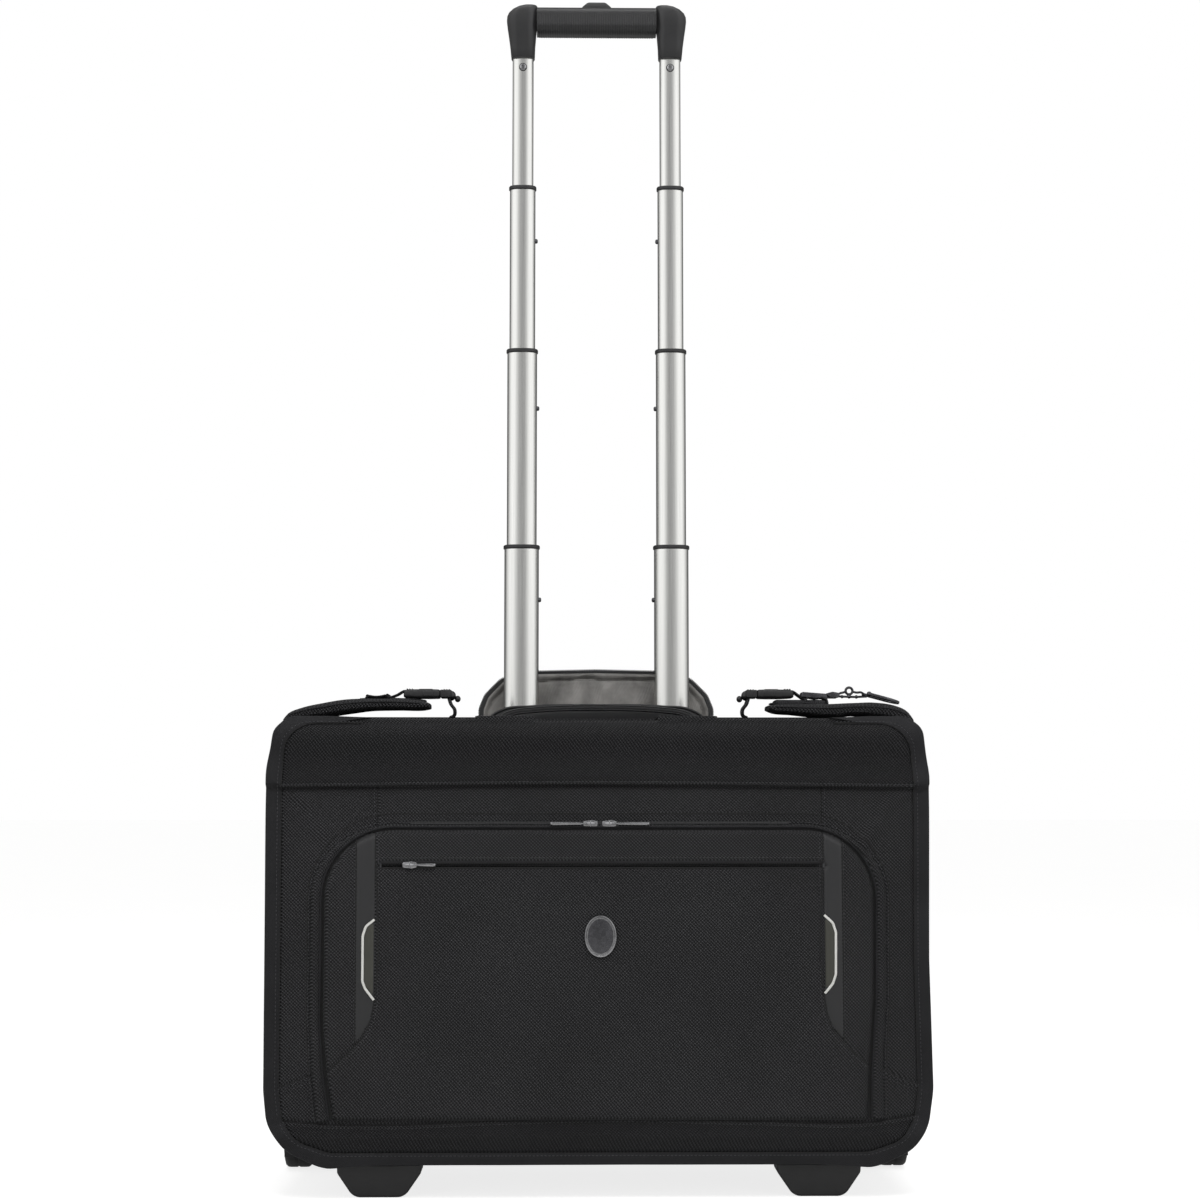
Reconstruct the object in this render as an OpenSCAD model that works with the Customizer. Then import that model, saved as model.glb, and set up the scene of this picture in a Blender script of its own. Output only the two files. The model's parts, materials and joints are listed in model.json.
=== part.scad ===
// Wheeled fold-over garment case: a soft rear body on a trolley frame, a front garment
// sleeve that lifts like a lid, and a four-stage twin-tube pull handle shown extended.
// X is across the case, -Y is its front, +Z is up, and Z = 0 is the floor.

/* [Case] */
// Width across the soft body
case_w = 560; // [520:5:600]
// Height of the top of the soft body above the floor
case_top = 404; // [380:1:430]
// Height of the underside of the soft body above the floor
case_base = 31; // [26:1:40]
// Overall depth, from the front pull tabs to the back of the wheel housings
case_depth = 230; // [220:2:250]
// Depth of the garment sleeve, without its front pocket
sleeve_depth = 64; // [50:1:70]
// Radius of the case's lower corners
corner_low = 45; // [30:1:60]
// Radius of the case's upper corners
corner_high = 18; // [10:1:30]
// Thickness of the padded fabric walls
wall = 4.5; // [3:0.5:6]

/* [Pull handle] */
// Distance between the two rows of tubes
tube_gap = 140.2; // [130:0.2:160]
// Distance from the case's middle back to the tubes' centre line
tube_y = 80; // [78:0.5:84]
// Height of the top of stage 4, the thickest moving stage, pulled out
top_4 = 571; // [550:1:590]
// Height of the top of stage 3, pulled out
top_3 = 757; // [740:1:770]
// Height of the top of stage 2, pulled out
top_2 = 914; // [900:1:925]
// Height of the top of the grip, pulled out
grip_top = 1090; // [1080:1:1100]
// Wall thickness of the tubes
tube_wall = 1.2; // [1:0.1:1.3]
// Width of the grip across its end caps
grip_w = 171.6; // [168:0.2:176]

/* [Wheels] */
// Wheel radius
wheel_r = 30; // [26:1:31]
// Tyre width
wheel_w = 24; // [20:1:25]
// Axle radius
axle_r = 4; // [3.5:0.5:4.5]

/* [Front pocket] */
// Height of the top of the arched pocket above the floor
pocket_top = 307; // [290:1:315]
// Height of the foot of the arched pocket above the floor
pocket_base = 67; // [60:1:80]
// Width of the arched pocket
pocket_w = 468; // [440:2:490]

/* [Hidden] */
$fn = 48;

half_w = case_w / 2;
front_y = -case_depth / 2;
back_y = case_depth / 2;
pull_depth = 3.5;                 // how far the pull tabs stand off the pocket's face
pocket_y = front_y + pull_depth;  // front face of the pocket
pocket_depth = 6.5;
sleeve_y = pocket_y + pocket_depth;
sleeve_back = sleeve_y + sleeve_depth;
body_front = sleeve_back + 3.5;   // the sleeve and the body never touch
body_back = 106;
body_half = half_w - 6;
body_top = case_top - 3;          // the sleeve's top strip lies over the body
well_floor = 331;
well_half = 100;
well_front = 60;
well_back = 99.5;

// The tubes' outer sizes, thickest first: index 0 is the fixed tube, 4 is stage 1.
tube_sizes = [[36.8, 28.2], [32.3, 24], [28, 20], [24.2, 16], [20, 12]];
collar_h = 3.4;
fixed_top = well_floor + 3;
// Heights of each stage's tube ends and lock pin, in the same order.
tube_tops = [fixed_top, top_4 - collar_h, top_3 - collar_h, top_2 - collar_h, grip_top - 24];
pin_heights = [0, 296, 520, 701, 861.5];
tube_bottoms = [46, 283, 507, 688, 848];
pin_r = 2.2;
pin_out = 2.3;                    // how far a lock pin stands out of the outer tube

silver = "silver";
black = [0.1, 0.1, 0.1];
fabric = [0.16, 0.16, 0.17];
lining = [0.4, 0.4, 0.42];
gunmetal = [0.3, 0.3, 0.32];

// ---- shared shapes ----------------------------------------------------------------------

// A rectangle about the origin whose four corners are round.
module round_rect(w, h, r) {
    square([w - 2 * r, h], center = true);
    square([w, h - 2 * r], center = true);
    for (x = [-1, 1], y = [-1, 1]) translate([x * (w / 2 - r), y * (h / 2 - r)]) circle(r);
}

// The case's face: square-shouldered above, with large round corners below.
module case_face(half, low, high, r_low, r_high) {
    translate([-half, low + r_low]) square([2 * half, high - low - r_low - r_high]);
    translate([-half + r_low, low]) square([2 * (half - r_low), r_low]);
    translate([-half + r_high, high - r_high]) square([2 * (half - r_high), r_high]);
    for (x = [-1, 1]) {
        translate([x * (half - r_low), low + r_low]) circle(r_low);
        translate([x * (half - r_high), high - r_high]) circle(r_high);
    }
}

// Stands a flat outline up in the XZ plane, from y_front back to y_back.
module upright(y_front, y_back) {
    translate([0, y_back, 0]) rotate([90, 0, 0]) linear_extrude(y_back - y_front) children();
}

// A cylinder along X from x_from to x_to.
module along_x(r, x_from, x_to) {
    translate([x_from, 0, 0]) rotate([0, 90, 0]) cylinder(r = r, h = x_to - x_from);
}

// One child on each row of tubes; the right one is the left one's mirror image.
module both_rows() {
    for (side = [0, 1]) mirror([side, 0, 0]) translate([-tube_gap / 2, tube_y, 0]) children();
}

module tube_outline(size, grow = 0) {
    round_rect(size[0] + 2 * grow, size[1] + 2 * grow, 5 + grow);
}

// Tubes of one stage, with the holes that its own pin and the next stage's pin pass through.
module stage_tubes(n) {
    color(silver) both_rows() difference() {
        translate([0, 0, tube_bottoms[n]]) linear_extrude(tube_tops[n] - tube_bottoms[n])
            difference() {
                tube_outline(tube_sizes[n]);
                tube_outline(tube_sizes[n], -tube_wall);
            }
        if (n > 0) translate([0, 0, pin_heights[n]]) along_x(pin_r + 0.15, 4, 40);
        if (n < 4) translate([0, 0, pin_heights[n + 1]]) along_x(pin_r + 0.15, 4, 40);
    }
}

// Moulded collars on top of a stage, which guide the next stage.
module stage_collars(n) {
    color(black) both_rows() translate([0, 0, tube_tops[n]]) linear_extrude(collar_h)
        difference() {
            tube_outline(tube_sizes[n], 0.9);
            tube_outline(tube_sizes[n + 1], 0.35);
        }
}

// Glides round a stage's lower end, with a plate that closes the tube.
module stage_glides(n) {
    slack = 0.3;
    color(black) both_rows() translate([0, 0, tube_bottoms[n] - 2]) {
        linear_extrude(10) difference() {
            tube_outline(tube_sizes[n - 1], -tube_wall - slack);
            tube_outline(tube_sizes[n], 0);
        }
        linear_extrude(2) tube_outline(tube_sizes[n], 0);
    }
}

// Spring pins that lock a stage in the one outside it.
module stage_pins(n) {
    color(gunmetal) both_rows() translate([0, 0, pin_heights[n]]) {
        along_x(pin_r, 3, tube_sizes[n - 1][0] / 2 + (n > 1 ? pin_out : 0.5));
        along_x(pin_r + 1, 1.5, 3);
    }
}

// ---- the rear body ------------------------------------------------------------------------

module back_board() {
    color(fabric) difference() {
        upright(body_back, body_back + 4.5)
            case_face(body_half, case_base, body_top - 1, corner_low, corner_high);
        wheel_housing_space();
    }
}

// The soft walls of the body, open at the front and closed by the board behind.
module body_shell() {
    color(fabric) difference() {
        upright(body_front, body_back) difference() {
            case_face(body_half, case_base, body_top, corner_low, corner_high);
            case_face(body_half - wall, case_base + wall, body_top - wall, corner_low - wall,
                      corner_high - wall);
        }
        translate([-well_half - 1, well_front - 2, body_top - 20])
            cube([2 * well_half + 2, well_back - well_front + 3, 40]);
        wheel_housing_space();
        handle_slots(0.6);
    }
}

module wheel_housing_space() {
    for (x = [-1, 1]) translate([x * 267.5, 97, 38]) cube([39, 105, 88], center = true);
}

// The lining panel that covers the tubes inside the compartment.
module divider_panel() {
    color(lining) upright(54, 56) difference() {
        case_face(body_half - wall - 0.5, case_base + wall + 0.5, body_top - wall - 0.5, 41, 14);
        for (x = [-1, 1]) translate([x * 267.5, 38]) square([39, 88], center = true);
    }
}

// The stiff tray under the case, which carries the feet.
module base_plate() {
    color(black) translate([0, 10, case_base - 4]) linear_extrude(4) round_rect(460, 188, 20);
}

// The moulded recess that the grip drops into, with a raised lip in front.
module handle_well() {
    lip = [[-98, body_top - 4], [-98, body_top], [-95, 411], [-86, 417], [-60, 420], [0, 421], [60, 420], [86, 417],
           [95, 411], [98, body_top], [98, body_top - 4]];
    color(black) {
        difference() {
            translate([-well_half, well_front, well_floor])
                cube([2 * well_half, well_back - well_front, body_top - well_floor]);
            translate([-well_half + 2.5, well_front + 2, well_floor + 3])
                cube([2 * well_half - 5, well_back - well_front - 4, 100]);
            both_rows() translate([0, 0, well_floor - 1]) linear_extrude(10)
                tube_outline(tube_sizes[0], 0.15);
        }
        upright(well_front - 1.8, well_front + 2) polygon(lip);
    }
}

module fixed_tubes() { stage_tubes(0); }

module fixed_collars() { stage_collars(0); }

// The bracket that ties the tubes' lower ends to the floor of the body.
module tube_bracket() {
    color(silver) difference() {
        translate([-98, tube_y - 20, case_base + wall]) cube([196, 40, 16]);
        both_rows() translate([0, 0, tube_bottoms[0]]) linear_extrude(20)
            tube_outline(tube_sizes[0], 0.1);
    }
}

module wheel_housing() {
    color(black) difference() {
        translate([249, 45, 14]) cube([half_w + 1 - 249, back_y - 45, 66]);
        translate([0, tube_y, wheel_r]) along_x(wheel_r + 2.5, 256, 300);
        translate([256, 47, 0]) cube([60, 66, wheel_r]);
        translate([0, tube_y, wheel_r]) along_x(axle_r, 240, 300);
    }
}

module wheel_housing_left() { mirror([1, 0, 0]) wheel_housing(); }

module wheel_housing_right() { wheel_housing(); }

module axles() {
    color(silver) for (side = [0, 1]) mirror([side, 0, 0]) translate([0, tube_y, wheel_r]) {
        along_x(axle_r, 249, 281);
        along_x(axle_r + 2.5, 281, 282.5);
    }
}

// Moulded feet that the case stands on in front.
module front_feet() {
    profile = [[-21, 0], [20, 0], [36, case_base - 4], [-36, case_base - 4]];
    color(black) for (x = [-186, 186]) translate([x, 0, 0]) upright(-82, -48) polygon(profile);
}

// Guides that the carry handle's ends slide in.
module handle_anchors() {
    color(black) difference() {
        for (x = [-1, 1]) translate([x * 88, 36.5, body_top + 2.2]) cube([20, 27, 4.4], center = true);
        handle_slots(0.4);
    }
}

// ---- the wheels, made on the right and mirrored for the left -----------------------------------

wheel_x = 259;

module wheel_place() { translate([0, tube_y, wheel_r]) rotate([0, 90, 0]) children(); }

module tyre() {
    color(black) wheel_place() translate([0, 0, wheel_x]) rotate_extrude($fn = 96) {
        translate([20, 0]) square([wheel_r - 26 + 3, wheel_w]);
        translate([20, 3]) square([wheel_r - 20, wheel_w - 6]);
        for (z = [3, wheel_w - 3]) translate([wheel_r - 3, z]) circle(3);
    }
}

module hub() {
    color(gunmetal) wheel_place() translate([0, 0, wheel_x + 1]) difference() {
        cylinder(r = 20, h = wheel_w - 2, $fn = 96);
        translate([0, 0, -1]) cylinder(r = 8, h = wheel_w);
        translate([0, 0, wheel_w - 4]) difference() {
            cylinder(r = 18, h = 5);
            cylinder(r = 10, h = 5);
        }
    }
}

module bearings() {
    color(silver) wheel_place() for (z = [wheel_x + 2, wheel_x + 15])
        translate([0, 0, z]) difference() {
            cylinder(r = 8, h = 5);
            translate([0, 0, -1]) cylinder(r = axle_r + 0.04, h = 7);
        }
}

module tyre_left() { mirror([1, 0, 0]) tyre(); }

module hub_left() { mirror([1, 0, 0]) hub(); }

module bearings_left() { mirror([1, 0, 0]) bearings(); }

module tyre_right() { tyre(); }

module hub_right() { hub(); }

module bearings_right() { bearings(); }

// ---- the pull handle ------------------------------------------------------------------------

module stage_4_tubes() { stage_tubes(1); }

module stage_4_collars() { stage_collars(1); }

module stage_4_glides() { stage_glides(1); }

module stage_4_pins() { stage_pins(1); }

module stage_3_tubes() { stage_tubes(2); }

module stage_3_collars() { stage_collars(2); }

module stage_3_glides() { stage_glides(2); }

module stage_3_pins() { stage_pins(2); }

module stage_2_tubes() { stage_tubes(3); }

module stage_2_collars() { stage_collars(3); }

module stage_2_glides() { stage_glides(3); }

module stage_2_pins() { stage_pins(3); }

module stage_1_tubes() { stage_tubes(4); }

module stage_1_glides() { stage_glides(4); }

module stage_1_pins() { stage_pins(4); }

bar_half = 56;
bar_h = 28.6;
bar_depth = 25;
button_half = 14.4;
button_rise = 2.6;

module grip_bar() {
    color(black) difference() {
        translate([0, tube_y, grip_top - bar_h / 2]) rotate([90, 0, 90])
            translate([0, 0, -bar_half]) linear_extrude(2 * bar_half)
                round_rect(bar_depth, bar_h, 9);
        translate([-button_half - 0.4, tube_y - 8.4, grip_top - 9])
            cube([2 * button_half + 0.8, 16.8, 20]);
    }
}

// An end cap: wide where it meets the bar, and as slim as the tube at its foot.
module grip_cap() {
    outer = grip_w / 2;
    foot = grip_top - 52;
    outline = [[-bar_half, grip_top], [-outer + 9, grip_top], [-outer + 3, grip_top - 3],
               [-outer, grip_top - 9], [-outer, grip_top - 17], [-outer + 2, grip_top - 28],
               [-outer + 4.6, grip_top - 42], [-outer + 4.8, foot], [-59, foot],
               [-59, grip_top - 38], [-bar_half, grip_top - bar_h - 2]];
    color(black) difference() {
        upright(tube_y - bar_depth / 2, tube_y + bar_depth / 2) polygon(outline);
        translate([-tube_gap / 2, tube_y, foot - 1]) linear_extrude(tube_tops[4] - foot + 1)
            tube_outline(tube_sizes[4]);
        for (y = [-1, 1]) translate([-60, tube_y + y * 17.5, foot - 1])
            cube([60, 18, 2 * (grip_top - foot - 38)], center = true);
    }
}

module grip_cap_left() { grip_cap(); }

module grip_cap_right() { mirror([1, 0, 0]) grip_cap(); }

// Round-headed screws through the front of stage 1, below the caps.
module grip_screws() {
    color(gunmetal) both_rows() translate([0, -tube_sizes[4][1] / 2, grip_top - 61])
        rotate([90, 0, 0]) cylinder(r = 3.6, h = 1.4);
}

// Rods inside stage 1, from the grip down to its lock pins.
module release_rods() {
    color(gunmetal) both_rows() translate([0, 0, pin_heights[4] + 5])
        cylinder(r = 2.5, h = tube_tops[4] - pin_heights[4] - 5);
}

module release_button() {
    color(black) translate([0, tube_y, grip_top + button_rise - 8])
        linear_extrude(8) round_rect(2 * button_half, 16, 3);
}

// ---- the carry handle and the cover flap ----------------------------------------------------

// The slots that the handle's ends slide in, with room round them.
module handle_slots(room) {
    for (x = [-1, 1]) translate([x * 87, 36, body_top])
        cube([4 + 2 * room, 22 + 2 * room, 60], center = true);
}

// A flat padded strap in a low arch, whose ends turn down into the body.
module carry_handle() {
    arch = [[-89, 384], [-89, 409], [-84, 414], [-60, 418], [-30, 419.5], [30, 419.5], [60, 418],
            [84, 414], [89, 409], [89, 384], [85, 384], [85, 406], [80, 409.5], [56, 413],
            [28, 414.2], [-28, 414.2], [-56, 413], [-80, 409.5], [-85, 406], [-85, 384]];
    color(black) upright(25, 47) polygon(arch);
}

flap_hinge = [0, 103, case_top - 0.8];
flap_lean = 10;

// The zipped cover over the handle's recess, standing open behind the tubes.
module cover_flap() {
    half = 108;
    tall = 52;
    outline = [[-half, 1], [-half, 14], [-half + 4, 24], [-half + 14, 37], [-half + 21, 45],
               [-half + 33, 50], [0, tall], [half - 33, 50], [half - 21, 45], [half - 14, 37],
               [half - 4, 24], [half, 14], [half, 1]];
    color(lining) translate(flap_hinge) {
        rotate([-flap_lean, 0, 0]) upright(-1.5, 1.5) polygon(outline);
        along_x(1.2, -half, half);
    }
}

// ---- the garment sleeve -------------------------------------------------------------------------

sleeve_hinge = [0, 20, case_top - 0.5];

// The front half: a tray of padded fabric, open behind, with a strip over the top to its fold.
module garment_sleeve() {
    color(fabric) {
        difference() {
            upright(sleeve_y, sleeve_back)
                case_face(half_w, case_base + 0.5, case_top, corner_low, corner_high);
            upright(sleeve_y + wall, sleeve_back + 1)
                case_face(half_w - wall, case_base + wall, case_top - wall, corner_low - wall,
                          corner_high - wall);
        }
        translate([-half_w + 20, sleeve_back - 1, case_top - 1.6])
            cube([case_w - 40, sleeve_hinge[1] - sleeve_back + 1, 2.2]);
        translate(sleeve_hinge) along_x(1.5, -half_w + 20, half_w - 20);
    }
}

// The pocket's outline: an arch with round shoulders that flares a little towards its foot.
module pocket_outline(inset) {
    half = pocket_w / 2 - inset;
    shoulder = 46 - inset;
    translate([-half, pocket_base + inset])
        square([2 * half, pocket_top - pocket_base - shoulder - inset]);
    translate([-half + shoulder, pocket_top - shoulder - 1])
        square([2 * (half - shoulder), shoulder + 1 - inset]);
    for (x = [-1, 1]) translate([x * (half - shoulder), pocket_top - shoulder - inset])
        circle(shoulder);
}

module front_pocket() {
    skin = 1.4;
    color(fabric) difference() {
        upright(pocket_y, sleeve_y) pocket_outline(0);
        upright(pocket_y + skin, sleeve_y + 1) pocket_outline(6);
    }
}

module badge_plate() {
    color(gunmetal) translate([0, pocket_y, 220]) rotate([90, 0, 0])
        linear_extrude(1.6) round_rect(28, 36, 13.9);
}

// A padded strap over the top corner: made on the left and mirrored, lying a little lower on
// the right, where the hook rests on it.
module wing_left() {
    outline = [[-273, case_top + 0.6], [-258, 412], [-240, 418], [-218, 421.5], [-173, 421.5],
               [-147, 419], [-147, 411.5], [-190, 412], [-218, 408], [-240, case_top + 0.8]];
    color(fabric) upright(-72, -24) polygon(outline);
}

module wing_right() {
    outline = [[271, case_top + 0.6], [262, 412.5], [240, 417], [200, 417.5], [147, 417],
               [147, 410.5], [165, 408.5], [200, case_top + 0.8]];
    color(fabric) upright(-72, -24) polygon(outline);
}

// The metal loop that ties the hook's strap to the right wing.
module hook_loop() {
    color(gunmetal) difference() {
        translate([178, hook_pin[1] - 9, 422]) {
            cube([25, 18, 4]);
            translate([4, 4, -4.4]) cube([17, 10, 4.4]);
            for (y = [0, 15.5]) translate([22, y, 0]) cube([11, 2.5, 6]);
        }
        translate(hook_pin + [0, 10, 0]) rotate([90, 0, 0]) cylinder(r = 2.05, h = 20);
    }
}

hook_pin = [208, -48, 425];

// The hook that the case hangs from, lying on the right wing.
module hanging_hook() {
    bend = 13;
    color(gunmetal) translate(hook_pin) {
        translate([0, 9, 0]) rotate([90, 0, 0]) cylinder(r = 2, h = 18);
        translate([-0.5, -2, -1.5]) cube([20, 4, 3]);
        translate([11, 0, 4]) rotate([90, 0, 0]) cylinder(r = 3.4, h = 3, center = true);
        translate([10, -1.5, 0]) cube([2, 3, 3]);
        translate([18, 0, -1.5]) cube([24, 3, 3]);
        translate([42, 3 - bend, -1.5]) difference() {
            cylinder(r = bend, h = 3);
            translate([0, 0, -1]) cylinder(r = bend - 3, h = 5);
            translate([-40, -40, -1]) cube([40, 80, 5]);
        }
        translate([26, -2 * bend + 3, -1.5]) cube([16, 3, 3]);
    }
}

// A side-release buckle: the socket holds the webbing, and the plug slides out towards the
// middle with its cord loop.
module buckle_socket() {
    color(black) translate([-170, -58, 422]) difference() {
        cube([31, 24, 8]);
        translate([15, 2.5, 1.6]) cube([17, 19, 4.8]);
    }
}

module buckle_plug() {
    color(black) translate([-154, -58, 422]) {
        for (y = [3, 16]) translate([0, y, 2]) cube([19, 5, 4]);
        translate([15.6, 0, 0]) difference() {
            cube([11, 24, 8]);
            translate([3.5, 4, -1]) cube([4, 16, 10]);
        }
    }
}

module buckle_socket_left() { buckle_socket(); }

module buckle_socket_right() { mirror([1, 0, 0]) buckle_socket(); }

module buckle_plug_left() { buckle_plug(); }

module buckle_plug_right() { mirror([1, 0, 0]) buckle_plug(); }

pin_off = 2.4;                    // from a slider's back face to its puller's post

// A zip slider at the origin of its place, with the post that its puller turns on.
module slider() {
    color(gunmetal) {
        translate([-6, -1.2, -3]) cube([12, 1.2, 6]);
        translate([0, -pin_off, -3]) cylinder(r = 0.45, h = 6);
        for (z = [-3, 2.1]) translate([-1, -pin_off - 0.6, z]) cube([2, 2, 0.9]);
    }
}

// A pull tab that lies along +X from its post.
module puller(reach) {
    color(silver) difference() {
        union() {
            translate([0, -pin_off, -1.1]) cylinder(r = 1.05, h = 2.2);
            translate([0, -pin_off - 0.3, -1.1]) cube([reach, 0.8, 2.2]);
        }
        translate([0, -pin_off, -2]) cylinder(r = 0.5, h = 4);
    }
}

arch_zip = [8, sleeve_y - 0.4, 314];
slash_zip = [-160, pocket_y - 0.05, 279.5];

module arch_slider_left() { mirror([1, 0, 0]) arch_slider_right(); }

module arch_slider_right() { translate(arch_zip) slider(); }

module arch_puller_left() { mirror([1, 0, 0]) arch_puller_right(); }

module arch_puller_right() { translate(arch_zip) puller(34); }

module slash_slider() { translate(slash_zip) slider(); }

module slash_puller() { translate(slash_zip) puller(22); }

back_board();
body_shell();
divider_panel();
base_plate();
handle_well();
fixed_tubes();
fixed_collars();
tube_bracket();
wheel_housing_left();
wheel_housing_right();
axles();
front_feet();
handle_anchors();
tyre_left();
hub_left();
bearings_left();
tyre_right();
hub_right();
bearings_right();
stage_4_tubes();
stage_4_collars();
stage_4_glides();
stage_4_pins();
stage_3_tubes();
stage_3_collars();
stage_3_glides();
stage_3_pins();
stage_2_tubes();
stage_2_collars();
stage_2_glides();
stage_2_pins();
stage_1_tubes();
stage_1_glides();
stage_1_pins();
grip_bar();
grip_cap_left();
grip_cap_right();
grip_screws();
release_rods();
release_button();
carry_handle();
cover_flap();
garment_sleeve();
front_pocket();
badge_plate();
wing_left();
wing_right();
hook_loop();
hanging_hook();
buckle_socket_left();
buckle_socket_right();
buckle_plug_left();
buckle_plug_right();
arch_slider_left();
arch_slider_right();
slash_slider();
arch_puller_left();
arch_puller_right();
slash_puller();
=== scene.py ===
import json
import math

import bmesh
import bpy
import numpy as np
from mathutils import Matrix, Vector


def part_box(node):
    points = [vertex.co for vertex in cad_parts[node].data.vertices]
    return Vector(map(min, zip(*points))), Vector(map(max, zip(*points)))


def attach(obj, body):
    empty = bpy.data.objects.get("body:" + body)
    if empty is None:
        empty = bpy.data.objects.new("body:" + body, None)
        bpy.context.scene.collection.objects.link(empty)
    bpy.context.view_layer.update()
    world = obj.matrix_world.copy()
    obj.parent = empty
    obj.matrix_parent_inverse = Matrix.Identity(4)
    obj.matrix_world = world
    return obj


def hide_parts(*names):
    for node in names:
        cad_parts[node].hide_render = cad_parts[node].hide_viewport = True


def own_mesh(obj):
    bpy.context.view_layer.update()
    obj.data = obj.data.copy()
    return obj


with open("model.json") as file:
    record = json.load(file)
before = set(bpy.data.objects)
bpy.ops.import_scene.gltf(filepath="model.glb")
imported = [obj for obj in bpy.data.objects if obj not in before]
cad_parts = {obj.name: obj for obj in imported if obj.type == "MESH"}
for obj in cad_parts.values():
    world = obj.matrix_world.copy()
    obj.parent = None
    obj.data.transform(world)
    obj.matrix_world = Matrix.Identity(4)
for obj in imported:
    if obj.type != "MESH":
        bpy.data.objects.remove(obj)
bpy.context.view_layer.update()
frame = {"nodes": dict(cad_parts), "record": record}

# Lengths in this script are millimetres in the frame's axes, and become metres in piece().
MM = 0.001


def cad(node):
    """A CAD node's lowest and highest corners, in millimetres."""
    return np.array(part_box(node)) / MM


# ---- camera, light and floor ----------------------------------------------------------------

SLEEVE_Y = cad("garment_sleeve")[0][1]      # front face of the sleeve
SLEEVE_BACK = cad("buckle_socket_left")[0][1] + 17
POCKET_Y = cad("front_pocket")[0][1]        # front face of the arched pocket


def set_camera():
    """A low camera near the case, a little to the left, tipped up to take in the handle."""
    distance, height, aside, tilt = 1900, 337, -33, 95
    lens, sensor = 67.3, 36
    data = bpy.data.cameras.new("camera")
    data.lens, data.sensor_width = lens, sensor
    camera = bpy.data.objects.new("camera", data)
    camera.location = (aside * MM, (POCKET_Y - distance) * MM, height * MM)
    camera.rotation_euler = (math.radians(tilt), 0, math.atan(aside / distance))
    bpy.context.collection.objects.link(camera)
    bpy.context.scene.camera = camera


def area_light(name, place, target, size, power, shiny=False):
    """A rectangular lamp facing target, in metres; only a shiny one shows in reflections."""
    data = bpy.data.lights.new(name, "AREA")
    data.shape, data.size, data.size_y, data.energy = "RECTANGLE", size[0], size[1], power
    lamp = bpy.data.objects.new(name, data)
    lamp.location = place
    way = Vector([a - b for a, b in zip(place, target)])
    lamp.rotation_euler = way.to_track_quat("Z", "Y").to_euler()
    lamp.visible_glossy = shiny
    bpy.context.collection.objects.link(lamp)


def set_light():
    """A large high front box, two side boxes and a small top box in a bright surround, whose
    reflections are greyer in the middle and behind, as black flags in a studio make them."""
    area_light("left_softbox", (-1.5, -1.7, 0.5), (0, -0.1, 0.3), (0.8, 1.4), 5)
    area_light("right_softbox", (1.5, -1.7, 0.5), (0, -0.1, 0.3), (0.8, 1.4), 4.5)
    area_light("high_softbox", (0.1, -1.3, 1.9), (0, -0.1, 0.25), (1.5, 0.9), 32)
    area_light("top_softbox", (0, -0.15, 2.6), (0, 0, 0.4), (1.3, 0.7), 8, True)
    world = bpy.data.worlds.new("studio")
    bpy.context.scene.world = world
    world.use_nodes = True
    tree = world.node_tree
    tree.nodes.clear()
    ray = node(tree, "ShaderNodeLightPath").outputs
    way = node(tree, "ShaderNodeTexCoord").outputs["Generated"]
    split = node(tree, "ShaderNodeSeparateXYZ", {"Vector": way}).outputs
    aside = node(tree, "ShaderNodeMath", {0: split["X"]}, operation="ABSOLUTE").outputs[0]
    # darker flags straight behind and in front, bright panels to the sides
    flag = node(tree, "ShaderNodeMapRange", {"Value": aside, "From Min": 0.0, "From Max": 0.42,
                "To Min": 0.26, "To Max": 1.75}).outputs[0]
    behind = node(tree, "ShaderNodeMapRange", {"Value": split["Y"], "From Min": -0.5,
                  "From Max": 0.55, "To Min": 1.0, "To Max": 0.1}).outputs[0]
    shine = node(tree, "ShaderNodeMath", {0: flag, 1: behind}, operation="MULTIPLY").outputs[0]
    fall = node(tree, "ShaderNodeMapRange", {"Value": split["Z"], "From Min": -0.3,
                "From Max": 0.6, "To Min": 0.14, "To Max": 0.4}).outputs[0]
    reflected = node(tree, "ShaderNodeBackground", {"Strength": shine})
    plain = node(tree, "ShaderNodeBackground", {"Color": (1, 1, 1, 1), "Strength": 1.0})
    around = node(tree, "ShaderNodeBackground", {"Strength": fall})
    lit = node(tree, "ShaderNodeMixShader", {0: ray["Is Glossy Ray"], 1: around.outputs[0],
               2: reflected.outputs[0]})
    everywhere = node(tree, "ShaderNodeMixShader", {0: ray["Is Camera Ray"],
                      1: lit.outputs[0], 2: plain.outputs[0]})
    node(tree, "ShaderNodeOutputWorld", {"Surface": everywhere.outputs[0]})


# ---- node and mesh helpers ------------------------------------------------------------------


def node(tree, kind, inputs=None, **settings):
    """Adds a node with its settings, and sets or links its inputs."""
    made = tree.nodes.new(kind)
    for key, value in settings.items():
        setattr(made, key, value)
    for key, value in (inputs or {}).items():
        if isinstance(value, bpy.types.NodeSocket):
            tree.links.new(value, made.inputs[key])
        else:
            made.inputs[key].default_value = value
    return made


def linear(code):
    """An sRGB hex colour as linear RGBA."""
    parts = [int(code[i:i + 2], 16) / 255 for i in (1, 3, 5)]
    return (*[c / 12.92 if c <= 0.04045 else ((c + 0.055) / 1.055) ** 2.4 for c in parts], 1)


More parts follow.
